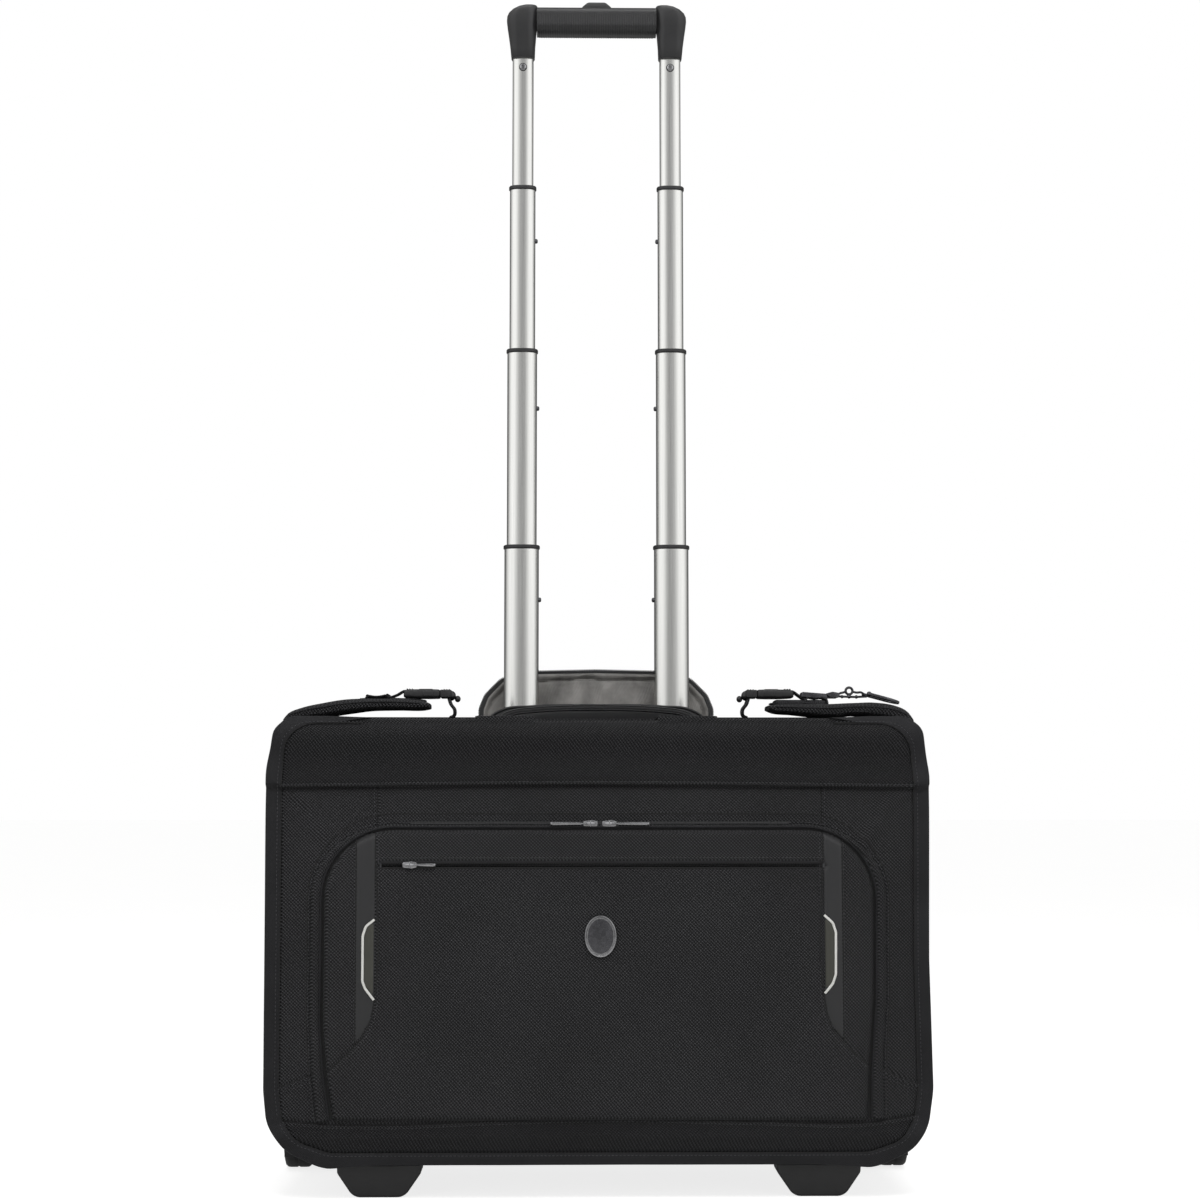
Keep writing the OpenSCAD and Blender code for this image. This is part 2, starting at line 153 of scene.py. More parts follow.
def fillet(corners, steps=9):
    """The closed outline through corners of (x, z, radius), each rounded to its radius."""
    points, out = np.array([c[:2] for c in corners], float), []
    for i, corner in enumerate(corners):
        here, radius = points[i], corner[2]
        back, on = points[i - 1] - here, points[(i + 1) % len(points)] - here
        long_back, long_on = np.linalg.norm(back), np.linalg.norm(on)
        back, on = back / long_back, on / long_on
        angle = math.acos(np.clip(back @ on, -1, 1))
        if radius <= 0 or angle > math.pi - 0.02:
            out.append(here)
            continue
        cut = min(radius / math.tan(angle / 2), 0.49 * long_back, 0.49 * long_on)
        middle = (back + on) / np.linalg.norm(back + on)
        centre = here + middle * cut / math.cos(angle / 2)
        first, last, turn = here + back * cut - centre, here + on * cut - centre, math.pi - angle
        for t in np.linspace(0, 1, steps):
            out.append(centre + (math.sin((1 - t) * turn) * first + math.sin(t * turn) * last)
                       / math.sin(turn))
    return np.array(out)


def even(path, step, closed=False):
    """The same path in equal steps of about the given length."""
    path = np.array(path, float)
    if closed:
        path = np.vstack([path, path[:1]])
    along = np.concatenate([[0], np.cumsum(np.linalg.norm(np.diff(path, axis=0), axis=1))])
    count = max(int(round(along[-1] / step)), 2)
    at = np.linspace(0, along[-1], count + 1)
    if closed:
        at = at[:-1]
    return np.stack([np.interp(at, along, path[:, k]) for k in range(path.shape[1])], 1)


def smooth_path(points, step):
    """A smooth open curve through given points."""
    points = np.array(points, float)
    along = np.concatenate([[0], np.cumsum(np.linalg.norm(np.diff(points, axis=0), axis=1))])
    slope = np.gradient(points, along, axis=0)
    at = np.linspace(0, along[-1], max(int(along[-1] / step), 2) + 1)
    k = np.clip(np.searchsorted(along, at, side="right") - 1, 0, len(points) - 2)
    gap = (along[k + 1] - along[k])[:, None]
    t = ((at - along[k]) / gap[:, 0])[:, None]
    return ((1 + 2 * t) * (1 - t) ** 2 * points[k] + t * (1 - t) ** 2 * gap * slope[k]
            + t * t * (3 - 2 * t) * points[k + 1] + t * t * (t - 1) * gap * slope[k + 1])


def outward(outline):
    """The outward normals of a closed outline."""
    way = np.roll(outline, -1, 0) - np.roll(outline, 1, 0)
    normal = np.stack([way[:, 1], -way[:, 0]], 1)
    normal /= np.maximum(np.linalg.norm(normal, axis=1), 1e-9)[:, None]
    x, z = outline.T
    turning = (x * np.roll(z, -1) - np.roll(x, -1) * z).sum()
    return normal if turning > 0 else -normal


def to_line(line, points, closed=False):
    """Each point's distance to a polyline, and the nearest place on it."""
    line = np.array(line, float)
    start = line if closed else line[:-1]
    way = (np.roll(line, -1, 0) - line) if closed else np.diff(line, axis=0)
    size = np.maximum((way ** 2).sum(1), 1e-12)
    far, near = np.empty(len(points)), np.empty((len(points), 2))
    for first in range(0, len(points), 8000):
        p = points[first:first + 8000, None]
        t = np.clip(((p - start) * way).sum(-1) / size, 0, 1)
        spot = start + t[..., None] * way
        gap = ((p - spot) ** 2).sum(-1)
        best = gap.argmin(1)
        rows = np.arange(len(best))
        far[first:first + 8000] = np.sqrt(gap[rows, best])
        near[first:first + 8000] = spot[rows, best]
    return far, near


def within(outline, points):
    """Whether each point is inside a closed outline."""
    inside = np.zeros(len(points), bool)
    for (x0, z0), (x1, z1) in zip(outline, np.roll(outline, -1, 0)):
        crosses = (z0 > points[:, 1]) != (z1 > points[:, 1])
        if z0 != z1:
            at = x0 + (points[:, 1] - z0) * (x1 - x0) / (z1 - z0)
            inside ^= crosses & (points[:, 0] < at)
    return inside


def respaced(outline, ring, step):
    """The points of a closed ring on an outline, shifted along it until none are bunched."""
    fine = even(outline, step / 6, closed=True)
    count = len(fine)
    first = np.array([((fine - p) ** 2).sum(1).argmin() for p in ring])
    moves = (np.diff(first, append=first[0]) + count / 2) % count - count / 2
    at = first[0] + np.concatenate([[0], np.cumsum(moves)[:-1]])
    for _ in range(8):
        before, after = np.roll(at, 1), np.roll(at, -1)
        before[0] -= moves.sum()
        after[-1] += moves.sum()
        at = (at + before + after) / 3
    closed = np.vstack([fine, fine[:1]])
    return np.stack([np.interp(at % count, np.arange(count + 1), closed[:, k])
                     for k in (0, 1)], 1)


def grid_in(outline, step):
    """A flat grid inside an outline, with its border points drawn onto the outline.
    Returns the points, the faces, the border in order, and each point's depth inside."""
    low, high = outline.min(0), outline.max(0)
    counts = np.ceil((high - low) / step).astype(int) + 1
    xs, zs = (np.linspace(low[k], high[k], counts[k]) for k in (0, 1))
    points = np.stack(np.meshgrid(xs, zs, indexing="ij"), -1).reshape(-1, 2)
    far, near = to_line(outline, points, closed=True)
    deep = np.where(within(outline, points), far, -far)
    index = np.arange(len(points)).reshape(counts)
    cells = np.stack([index[:-1, :-1], index[1:, :-1], index[1:, 1:], index[:-1, 1:]],
                     -1).reshape(-1, 4)
    cells = cells[(deep[cells] > -0.9 * step).all(1) & (deep[cells].mean(1) > 0.1 * step)]
    snap = deep < 0.35 * step
    points[snap] = near[snap]
    used, cells = np.unique(cells, return_inverse=True)
    cells = cells.reshape(-1, 4)
    points, deep = points[used], np.maximum(deep[used], 0)
    edges = {}
    for cell in cells.tolist():
        for a, b in zip(cell, cell[1:] + cell[:1]):
            if (b, a) in edges:
                del edges[b, a]
            else:
                edges[a, b] = True
    following = dict(edges.keys())
    border = [next(iter(following))]
    while following[border[-1]] != border[0]:
        border.append(following[border[-1]])
    points[border] = respaced(outline, points[border], step)
    deep[border] = 0
    return points, cells.tolist(), border, deep


def face_on(points, y):
    """Flat (x, z) points stood up at depth y, which may be one number or one for each."""
    return np.stack([points[:, 0], np.broadcast_to(y, len(points)), points[:, 1]], 1)


def loft(rings, joined=False):
    """Vertices and faces through closed rings of equal length, with the ends capped, or
    joined last to first."""
    n, count = len(rings[0]), len(rings)
    faces = []
    for k in range(count if joined else count - 1):
        a, b = k * n, (k + 1) % count * n
        faces += [(a + i, a + (i + 1) % n, b + (i + 1) % n, b + i) for i in range(n)]
    if not joined:
        faces.append(tuple(range(n)))
        faces.append(tuple((count - 1) * n + i for i in range(n)))
    return np.concatenate(rings), faces


def skin(face, cells, border, rings):
    """A face of quads whose border is carried through rings, the last of them capped."""
    n, faces, last = len(border), [tuple(c) for c in cells], np.array(border)
    for k in range(len(rings)):
        now = len(face) + k * n + np.arange(n)
        faces += [(last[i], last[(i + 1) % n], now[(i + 1) % n], now[i]) for i in range(n)]
        last = now
    return np.concatenate([face] + rings), faces + [tuple(last)]


def beside(path):
    """The unit normals of an open flat path, to the left of its direction."""
    way = np.gradient(path, axis=0)
    return np.stack([-way[:, 1], way[:, 0]], 1) / np.linalg.norm(way, axis=1)[:, None]


def level(flat, z):
    """Flat (x, y) points at height z."""
    return np.column_stack([flat, np.full(len(flat), z)])


def upright(flat, x):
    """Flat (y, z) points at distance x to the side."""
    return np.column_stack([np.full(len(flat), x), flat])


def ellipse(a, b, count=12):
    """An ellipse with half axes a and b."""
    turn = np.linspace(0, 2 * math.pi, count, endpoint=False)
    return np.stack([a * np.cos(turn), b * np.sin(turn)], 1)


def soft_box(w, h, r, steps=5):
    """A rounded rectangle about the origin."""
    return fillet([(-w / 2, -h / 2, r), (w / 2, -h / 2, r), (w / 2, h / 2, r),
                   (-w / 2, h / 2, r)], steps)


def oval(w, h, power=2.6, count=64):
    """A squared oval: the section of a drawn tube, with faces that bow a little."""
    turn = np.linspace(0, 2 * math.pi, count, endpoint=False)
    x, y = np.cos(turn), np.sin(turn)
    return np.stack([w / 2 * np.sign(x) * np.abs(x) ** (2 / power),
                     h / 2 * np.sign(y) * np.abs(y) ** (2 / power)], 1)


def sweep(path, section, closed=False, up=(0, -1, 0)):
    """Carries a closed section of (side, up) offsets along a path."""
    path, up = np.array(path, float), np.array(up, float)
    way = (np.roll(path, -1, 0) - np.roll(path, 1, 0)) if closed else np.gradient(path, axis=0)
    way /= np.linalg.norm(way, axis=1)[:, None]
    side = np.cross(way, up)
    side /= np.linalg.norm(side, axis=1)[:, None]
    above = np.cross(side, way)
    rings = [p + section[:, :1] * s + section[:, 1:] * a for p, s, a in zip(path, side, above)]
    return loft(rings, joined=closed)


def slab(outline, low, high, rounding, plane="xz", steps=4):
    """An outline given a thickness along the third axis, with rounded rims."""
    normal, rings = outward(outline), []
    quarter = np.linspace(0, math.pi / 2, steps + 1)
    profile = [(rounding * (1 - math.sin(t)), low + rounding * (1 - math.cos(t)))
               for t in quarter]
    profile += [(rounding * (1 - math.cos(t)), high - rounding * (1 - math.sin(t)))
                for t in quarter]
    for inset, depth in profile:
        flat = outline - normal * inset
        depths = np.full(len(flat), depth)
        order = {"xz": (flat[:, 0], depths, flat[:, 1]), "xy": (flat[:, 0], flat[:, 1], depths),
                 "yz": (depths, flat[:, 0], flat[:, 1])}[plane]
        rings.append(np.stack(order, 1))
    return loft(rings)


def lathe(profile, centre, count=72):
    """A closed profile of (x, radius) turned about an X axis through centre (y, z)."""
    turns = np.linspace(0, 2 * math.pi, count, endpoint=False)
    profile = np.array(profile, float)
    rings = [np.stack([profile[:, 0], centre[0] + profile[:, 1] * math.cos(t),
                       centre[1] + profile[:, 1] * math.sin(t)], 1) for t in turns]
    return loft(rings, joined=True)


def mirrored(part):
    """The same shape on the other side of the case."""
    return part[0] * (-1, 1, 1), part[1]


def piece(name, parts, finishes, body="sleeve", replaces=(), hard=False):
    """Makes one object from shapes of (vertices, faces, finish number) and sets it riding.
    A hard piece keeps its flat faces flat between rounded edges."""
    mesh = bpy.data.meshes.new(name)
    vertices, faces, picks, first = [], [], [], 0
    for part in parts:
        vertices.append(part[0])
        faces += [tuple(i + first for i in face) for face in part[1]]
        picks += [part[2] if len(part) > 2 else 0] * len(part[1])
        first += len(part[0])
    mesh.from_pydata((np.concatenate(vertices) * MM).tolist(), [], faces)
    for finish in finishes:
        mesh.materials.append(finish)
    mesh.polygons.foreach_set("material_index", picks)
    work = bmesh.new()
    work.from_mesh(mesh)
    bmesh.ops.recalc_face_normals(work, faces=work.faces)
    work.to_mesh(mesh)
    work.free()
    mesh.polygons.foreach_set("use_smooth", [True] * len(mesh.polygons))
    mesh.set_sharp_from_angle(angle=math.radians(40))
    obj = bpy.data.objects.new(name, mesh)
    bpy.context.collection.objects.link(obj)
    if hard:
        flatten_shading(obj)
    return set_riding(obj, body, replaces)


def flatten_shading(obj):
    """Weights the shading by face area, so that flat faces look flat."""
    even_out = obj.modifiers.new("shading", "WEIGHTED_NORMAL")
    even_out.keep_sharp = True
    settle(obj)


def set_riding(obj, body, replaces=()):
    """Sets the body an object rides on, and what it replaces."""
    if not body:
        return obj
    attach(obj, body)
    if replaces:
        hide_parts(*replaces)
    return obj


def settle(obj):
    """Turns what an object's modifiers make into its own plain mesh."""
    graph = bpy.context.evaluated_depsgraph_get()
    mesh = bpy.data.meshes.new_from_object(obj.evaluated_get(graph), depsgraph=graph)
    obj.modifiers.clear()
    obj.data = mesh


def row_tree(name, finish, shape):
    """Geometry nodes that set small solids at equal steps along a path."""
    tree = bpy.data.node_groups.new(name, "GeometryNodeTree")
    tree.interface.new_socket("Path", in_out="INPUT", socket_type="NodeSocketGeometry")
    tree.interface.new_socket("Step", in_out="INPUT", socket_type="NodeSocketFloat")
    tree.interface.new_socket("Size", in_out="INPUT", socket_type="NodeSocketVector")
    tree.interface.new_socket("Row", in_out="OUTPUT", socket_type="NodeSocketGeometry")
    given = node(tree, "NodeGroupInput").outputs
    curve = node(tree, "GeometryNodeMeshToCurve", {"Mesh": given["Path"]})
    points = node(tree, "GeometryNodeResampleCurve",
                  {"Curve": curve.outputs[0], "Length": given["Step"]}, mode="LENGTH")
    if shape == "stitch":
        solid = node(tree, "GeometryNodeMeshUVSphere", {"Segments": 6, "Rings": 4, "Radius": 0.5})
    else:
        solid = node(tree, "GeometryNodeMeshCube", {"Size": (1, 1, 1)})
    way = node(tree, "GeometryNodeInputTangent")
    turn = node(tree, "FunctionNodeAlignRotationToVector", {"Vector": way.outputs[0]}, axis="X")
    row = node(tree, "GeometryNodeInstanceOnPoints",
               {"Points": points.outputs[0], "Instance": solid.outputs[0],
                "Rotation": turn.outputs[0], "Scale": given["Size"]})
    real = node(tree, "GeometryNodeRealizeInstances", {"Geometry": row.outputs[0]})
    done = node(tree, "GeometryNodeSetMaterial", {"Geometry": real.outputs[0],
                                                  "Material": finish})
    node(tree, "NodeGroupOutput", {0: done.outputs[0]})
    return tree


def row(name, paths, tree, step, size, body="sleeve", slot="black_nylon"):
    """A row of stitches, teeth or ribs along one or more paths."""
    mesh = bpy.data.meshes.new(name)
    points, edges, first = [], [], 0
    for path in paths:
        points.append(np.array(path, float))
        edges += [(first + i, first + i + 1) for i in range(len(path) - 1)]
        first += len(path)
    mesh.from_pydata((np.concatenate(points) * MM).tolist(), edges, [])
    obj = bpy.data.objects.new(name, mesh)
    bpy.context.collection.objects.link(obj)
    modifier = obj.modifiers.new("row", "NODES")
    modifier.node_group = tree
    sockets = {s.name: s.identifier for s in tree.interface.items_tree if s.in_out == "INPUT"}
    modifier[sockets["Step"]] = step * MM
    modifier[sockets["Size"]] = [s * MM for s in size]
    settle(obj)
    obj.data.polygons.foreach_set("use_smooth", [True] * len(obj.data.polygons))
    return set_riding(obj, body)


# ---- finishes -------------------------------------------------------------------------------


def finish_for(name, colour, roughness, metallic=0.0, **sockets):
    """A new material with its constants on the shader's own sockets."""
    made = bpy.data.materials.new(name)
    made.use_nodes = True
    tree = made.node_tree
    shader = tree.nodes["Principled BSDF"]
    shader.inputs["Base Color"].default_value = linear(colour)
    shader.inputs["Roughness"].default_value = roughness
    shader.inputs["Metallic"].default_value = metallic
    for key, value in sockets.items():
        shader.inputs[key.replace("_", " ")].default_value = value
    return made, tree, shader


def spots(tree):
    """Object coordinates in metres."""
    return node(tree, "ShaderNodeTexCoord").outputs["Object"]


def noise(tree, scale, detail=3, stretch=(1, 1, 1)):
    """Noise with features of about 1/scale metres."""
    place = node(tree, "ShaderNodeMapping", {"Vector": spots(tree), "Scale": stretch})
    return node(tree, "ShaderNodeTexNoise", {"Vector": place.outputs[0], "Scale": scale,
                                             "Detail": detail}).outputs[0]


def sums(tree, operation, a, b=0.0, c=0.0):
    """A Math node's result."""
    values = {0: a, 1: b}
    if operation in ("MULTIPLY_ADD", "SMOOTH_MAX"):
        values[2] = c
    return node(tree, "ShaderNodeMath", values, operation=operation).outputs[0]


def wave(tree, across, period):
    """A sine of a coordinate, with a period in metres."""
    return sums(tree, "SINE", sums(tree, "MULTIPLY", across, 2 * math.pi / period))


def blend_colours(tree, shader, share, dark, light):
    """A base colour between dark and light by share."""
    mixed = node(tree, "ShaderNodeMix", {"Factor": share, "A": linear(dark),
                                         "B": linear(light)}, data_type="RGBA")
    # the colour sockets are the third pair of the mix node
    mixed.inputs[6].default_value, mixed.inputs[7].default_value = linear(dark), linear(light)
    tree.links.new(mixed.outputs[2], shader.inputs["Base Color"])


def bump(tree, shader, height, distance, strength=1.0):
    """Relief from a height, as deep as distance."""
    made = node(tree, "ShaderNodeBump", {"Height": height, "Distance": distance,
                                         "Strength": strength})
    tree.links.new(made.outputs[0], shader.inputs["Normal"])


def vary_roughness(tree, shader, share, low, high):
    """Roughness between low and high by share."""
    rough = node(tree, "ShaderNodeMapRange", {"Value": share, "To Min": low, "To Max": high})
    tree.links.new(rough.outputs[0], shader.inputs["Roughness"])


def threads(tree):
    """Two thread directions that run over fronts, sides and tops alike."""
    parts = node(tree, "ShaderNodeSeparateXYZ", {"Vector": spots(tree)}).outputs
    return (sums(tree, "ADD", parts["X"], parts["Y"]),
            sums(tree, "MULTIPLY_ADD", parts["Y"], 0.5, parts["Z"]))


def nylon_twill(name, dark, light, rib=2.9, depth=0.35):
    """Ballistic nylon in a twill weave: matt, with fine slanting ribs broken into short
    floats. The real ribs are 0.8 mm apart, and are drawn coarser so that they show."""
    made, tree, shader = finish_for(name, dark, 0.62, Specular_IOR_Level=0.22,
                                    Sheen_Weight=0.03, Sheen_Roughness=0.5)
    warp, weft = threads(tree)
    worn = noise(tree, 9, 4)
    drift = sums(tree, "MULTIPLY", noise(tree, 200, 1), 0.0006)
    slant = sums(tree, "ADD", sums(tree, "ADD", warp, weft), drift)
    ribs = wave(tree, slant, rib * MM)
    floats = wave(tree, sums(tree, "SUBTRACT", warp, weft), rib * MM)
    height = sums(tree, "MULTIPLY_ADD", floats, 0.75, ribs)
    # The colour is lighter on the raised threads, a painted highlight on the weave, and it also
    # varies at random in broad patches.
    share = sums(tree, "MULTIPLY_ADD", height, 0.42, sums(tree, "MULTIPLY_ADD", worn, 0.5, 0.0))
    blend_colours(tree, shader, share, dark, light)
    bump(tree, shader, height, depth * MM)
    return made


def coated_cloth():
    """Cloth under a smooth matt polyurethane coat, with only a faint even grain."""
    made, tree, shader = finish_for("coated_cloth", "#303031", 0.5, Specular_IOR_Level=0.35)
    grain = noise(tree, 1400, 2)
    blend_colours(tree, shader, sums(tree, "MULTIPLY_ADD", noise(tree, 14), 0.6, 0.2),
                  "#242425", "#2d2d2e")
    bump(tree, shader, grain, 0.05 * MM)
    return made


def binding_tape():
    """Folded grosgrain tape: close ribs across the tape and a slightly darker, duller black."""
    made, tree, shader = finish_for("binding_tape", "#232324", 0.66, Specular_IOR_Level=0.2,
                                    Sheen_Weight=0.03)
    warp, weft = threads(tree)
    ribs = wave(tree, warp, 1.9 * MM)
    cross = wave(tree, weft, 1.9 * MM)
    height = sums(tree, "MULTIPLY", ribs, cross)
    share = sums(tree, "MULTIPLY_ADD", height, 0.2, sums(tree, "MULTIPLY", noise(tree, 22), 0.9))
    blend_colours(tree, shader, share, "#121213", "#272729")
    bump(tree, shader, height, 0.12 * MM)
    return made


def lining_cloth(name, crease_shade):
    """Grey polyester lining: thin, softly crumpled, with a dull satin sheen."""
    made, tree, shader = finish_for(name, "#777674", 0.55, Sheen_Weight=0.3, Sheen_Roughness=0.35)
    warp, weft = threads(tree)
    fine = sums(tree, "ADD", wave(tree, warp, 1.3 * MM), wave(tree, weft, 1.3 * MM))
    crumple = noise(tree, 45, 5, (1, 1, 0.6))
    # The colour follows the same crumples as the relief, darker in their hollows: painted shade
    # in the creases, as strong as the second argument sets.
    share = sums(tree, "MULTIPLY_ADD", fine, 0.05, sums(tree, "MULTIPLY_ADD", crumple, crease_shade,
                                                        0.5 - 0.5 * crease_shade))
    blend_colours(tree, shader, share, "#454442", "#83817e")
    bump(tree, shader, sums(tree, "MULTIPLY_ADD", fine, 0.05, crumple), 1.2 * MM, 0.6)
    return made


def moulded_nylon(name="moulded_nylon", colour="#171718", light="#232324", roughness=0.44):
    """Injection-moulded glass-filled nylon: near black with a fine spark-eroded grain."""
    made, tree, shader = finish_for(name, colour, roughness)
    blend_colours(tree, shader, noise(tree, 60, 4), colour, light)
    bump(tree, shader, noise(tree, 1800, 2), 0.06 * MM, 0.7)
    vary_roughness(tree, shader, noise(tree, 35, 3), roughness - 0.06, roughness + 0.1)
    return made


def brushed_aluminium():
    """Brushed and clear-anodised aluminium: silver, with soft streaks along the tube."""
    made, tree, shader = finish_for("brushed_aluminium", "#c6c6c4", 0.22, 1.0, Anisotropic=0.4)
    streaks = noise(tree, 2600, 3, (1, 1, 0.006))
    blend_colours(tree, shader, streaks, "#c6c6c4", "#e4e4e1")
    vary_roughness(tree, shader, streaks, 0.18, 0.28)
    bump(tree, shader, streaks, 0.02 * MM, 0.5)
    return made


def plated_metal(name, dark, light, roughness):
    """Die-cast zinc with a polished nickel plate: faint waves and a patchy rubbed tone."""
    made, tree, shader = finish_for(name, dark, roughness, 1.0)
    worn = noise(tree, 320, 3)
    blend_colours(tree, shader, worn, dark, light)
    vary_roughness(tree, shader, worn, roughness - 0.06, roughness + 0.12)
    bump(tree, shader, noise(tree, 500, 2), 0.03 * MM, 0.4)
    return made


def reflective_tape():
    """Glass-bead reflective tape: a pale grey film with a pearly, granular face."""
    made, tree, shader = finish_for("reflective_tape", "#c9c9c5", 0.38, Coat_Weight=0.3)
    blend_colours(tree, shader, noise(tree, 900, 2), "#bcbcb8", "#dededa")
    bump(tree, shader, noise(tree, 2000, 1), 0.03 * MM, 0.5)
    return made


def polyurethane(name, dark, light, roughness):
    """Cast polyurethane or soft rubber: dense and dull, with a dusty bloom."""
    made, tree, shader = finish_for(name, dark, roughness, Sheen_Weight=0.08)
    blend_colours(tree, shader, noise(tree, 90, 4), dark, light)
    bump(tree, shader, noise(tree, 1500, 3), 0.08 * MM, 0.6)
    return made


def sewing_thread():
    """Bonded nylon thread: a little glossier than the cloth, so that the stitches catch light."""
    made, tree, shader = finish_for("sewing_thread", "#2f2f31", 0.42)
    blend_colours(tree, shader, noise(tree, 400, 2), "#28282a", "#434346")
    bump(tree, shader, noise(tree, 2500, 1), 0.03 * MM)
    return made


def zip_coil():
    """Nylon zip tape and coil: black, with the coil's small glints painted lighter on its raised
    weave.
    """
    made, tree, shader = finish_for("zip_coil", "#111112", 0.4)
    warp, weft = threads(tree)
    height = sums(tree, "ADD", wave(tree, warp, 1.5 * MM), wave(tree, weft, 1.5 * MM))
    blend_colours(tree, shader, sums(tree, "MULTIPLY_ADD", height, 0.25, 0.5), "#0c0c0d",
                  "#1f1f21")
    bump(tree, shader, height, 0.1 * MM)
    return made


def webbing():
    """Woven polyester webbing: a close plain weave with a slight lengthwise rib."""
    made, tree, shader = finish_for("webbing", "#222223", 0.6, Specular_IOR_Level=0.25,
                                    Sheen_Weight=0.03)
    warp, weft = threads(tree)
    height = sums(tree, "MULTIPLY_ADD", wave(tree, warp, 1.7 * MM), 0.8,
                  wave(tree, weft, 1.7 * MM))
    share = sums(tree, "MULTIPLY_ADD", height, 0.15, noise(tree, 30))
    blend_colours(tree, shader, share, "#19191a", "#323234")
    bump(tree, shader, height, 0.15 * MM)
    return made


def studio_floor():
    """A matt painted floor, pale and plain, with the faintest mottling, lit up to the white
    of the surround where the camera sees it."""
    made, tree, shader = finish_for("studio_floor", "#c6c6c5", 0.8, Specular_IOR_Level=0.1,
                                    Emission_Color=(1, 1, 1, 1))
    seen = node(tree, "ShaderNodeLightPath").outputs["Is Camera Ray"]
    glow = sums(tree, "MULTIPLY_ADD", seen, 0.7, 0.1)
    tree.links.new(glow, shader.inputs["Emission Strength"])
    blend_colours(tree, shader, noise(tree, 3, 2), "#c2c2c1", "#cacac9")
    return made


TWILL = nylon_twill("nylon_twill", "#111112", "#3f3f41")
# A darker copy of the twill for the top strip and the bottom band: painted shade, as they turn
# away from the light.
PAINTED_SHADE_TWILL = nylon_twill("strip_twill_painted_shade", "#09090a", "#2e2e30")
COATED = coated_cloth()
TAPE = binding_tape()
# The number sets the painted shade in the lining's creases; the flap's lining has it darker.
LINING = lining_cloth("lining_cloth", 1.1)
FLAP_LINING = lining_cloth("painted_crease_shade_lining", 2.3)
NYLON = moulded_nylon()
GLOSSY = moulded_nylon("polished_nylon", "#1a1a1b", "#232324", 0.26)
RUBBER = polyurethane("soft_touch_rubber", "#131314", "#202021", 0.42)
TYRE = polyurethane("polyurethane_tyre", "#19191a", "#2b2b2c", 0.48)
HUB = moulded_nylon("hub_nylon", "#3b3b3d", "#4b4b4e", 0.4)
SILVER = brushed_aluminium()
STEEL = plated_metal("zinc_plated_steel", "#9c9ca0", "#b9b9bc", 0.3)
GUNMETAL = plated_metal("black_nickel", "#4a4a4c", "#66666a", 0.24)
NICKEL = plated_metal("bright_nickel", "#8a8a8c", "#b2b2b4", 0.16)
REFLECTIVE = reflective_tape()
OLIVE = polyurethane("printed_film", "#2f2f2a", "#3a3a33", 0.45)
THREAD = sewing_thread()
COIL = zip_coil()
# Near-black strips laid along seams, slits and gaps: painted shadow where those hollows are
# shaded.
PAINTED_SEAM_SHADE = polyurethane("painted_seam_shadow", "#070707", "#0d0d0e", 0.8)
WEBBING = webbing()

set_camera()
STITCHES = row_tree("stitch_row", THREAD, "stitch")
PALE_STITCHES = row_tree("lining_stitch_row", LINING, "stitch")
TEETH = row_tree("zip_teeth_row", COIL, "tooth")
STITCH = (2.1, 0.5, 0.55)
STITCH_STEP = 3.3


def sew(name, paths, body="sleeve", slot="black_nylon"):
    """A row of stitches in the case's own thread along one or more paths."""
    return row(name, paths, STITCHES, STITCH_STEP, STITCH, body, slot)


# ---- the garment sleeve's face --------------------------------------------------------------

# Outlines are corners of (x, z, radius) seen from the front, and seams are (x, z) points.
FACE_EDGE = fillet([
    (-264, 404, 12), (-275.4, 393, 14), (-277.8, 378, 50), (-281.4, 361, 70),
    (-280.4, 92, 60), (-277.4, 64, 30), (-262, 44, 26), (-232, 31.7, 40),
    (232, 31.7, 40), (262, 44, 26), (274.8, 62, 30), (279.2, 92, 60),
    (277, 200, 100), (278.8, 356, 70), (275.6, 378, 50), (273.6, 394, 14),
    (262, 404, 12), (49.6, 404, 1.4), (48.6, 401.8, 1.2), (-54.6, 401.8, 1.2),
    (-55.8, 404, 1.4)])
PANEL_EDGE = fillet([
    (-267, 399, 32), (-269.4, 346, 70), (-268.8, 92, 60), (-266, 66, 30), (-252, 49, 26),
    (-226, 39.8, 36), (226, 39.8, 36), (252, 49, 26), (263.8, 66, 30), (267.6, 92, 60),
    (265.6, 200, 100), (266.8, 346, 70), (263.4, 399, 32)])
TOP_SEAM = [(-270, 344.5), (-120, 346.4), (0, 347), (120, 346.2), (267, 344.2)]
BOTTOM_SEAM = [(-269, 67), (-228, 63.8), (-174, 63), (-95, 66), (17, 68.4), (134, 65.6),
               (226, 64.6), (268, 71)]
UPPER_SEAMS = [[(-188, 345), (-188, 313)], [(188, 345), (188, 313)]]
PATCH_SEAMS = [[(-269, 94), (-245, 103), (-236, 105.5)], [(235, 111), (249, 103), (272, 95)]]


def ripples(x, z):
    """The gentle unevenness of padded cloth, about half a millimetre either way."""
    return (0.28 * np.sin(x / 29 + 1.4 * np.sin(z / 37)) + 0.22 * np.sin(z / 21 + x / 90)
            + 0.12 * np.sin(x / 11 - z / 17 + 2 * np.sin(z / 53)))


def puckers(points, line, height):
    """Short gathers where a seam pulls the cloth in, fading with distance from it."""
    far, _ = to_line(line, points)
    along = points[:, 0] + points[:, 1]
    return height * np.exp(-far / 7) * np.sin(along / 2.9 + 1.6 * np.sin(along / 19))


def groove(points, line, depth, width, closed=False):
    """How deep a soft channel along a line lies at each point."""
    far, _ = to_line(line, points, closed)
    return depth * np.exp(-(far / width) ** 2)


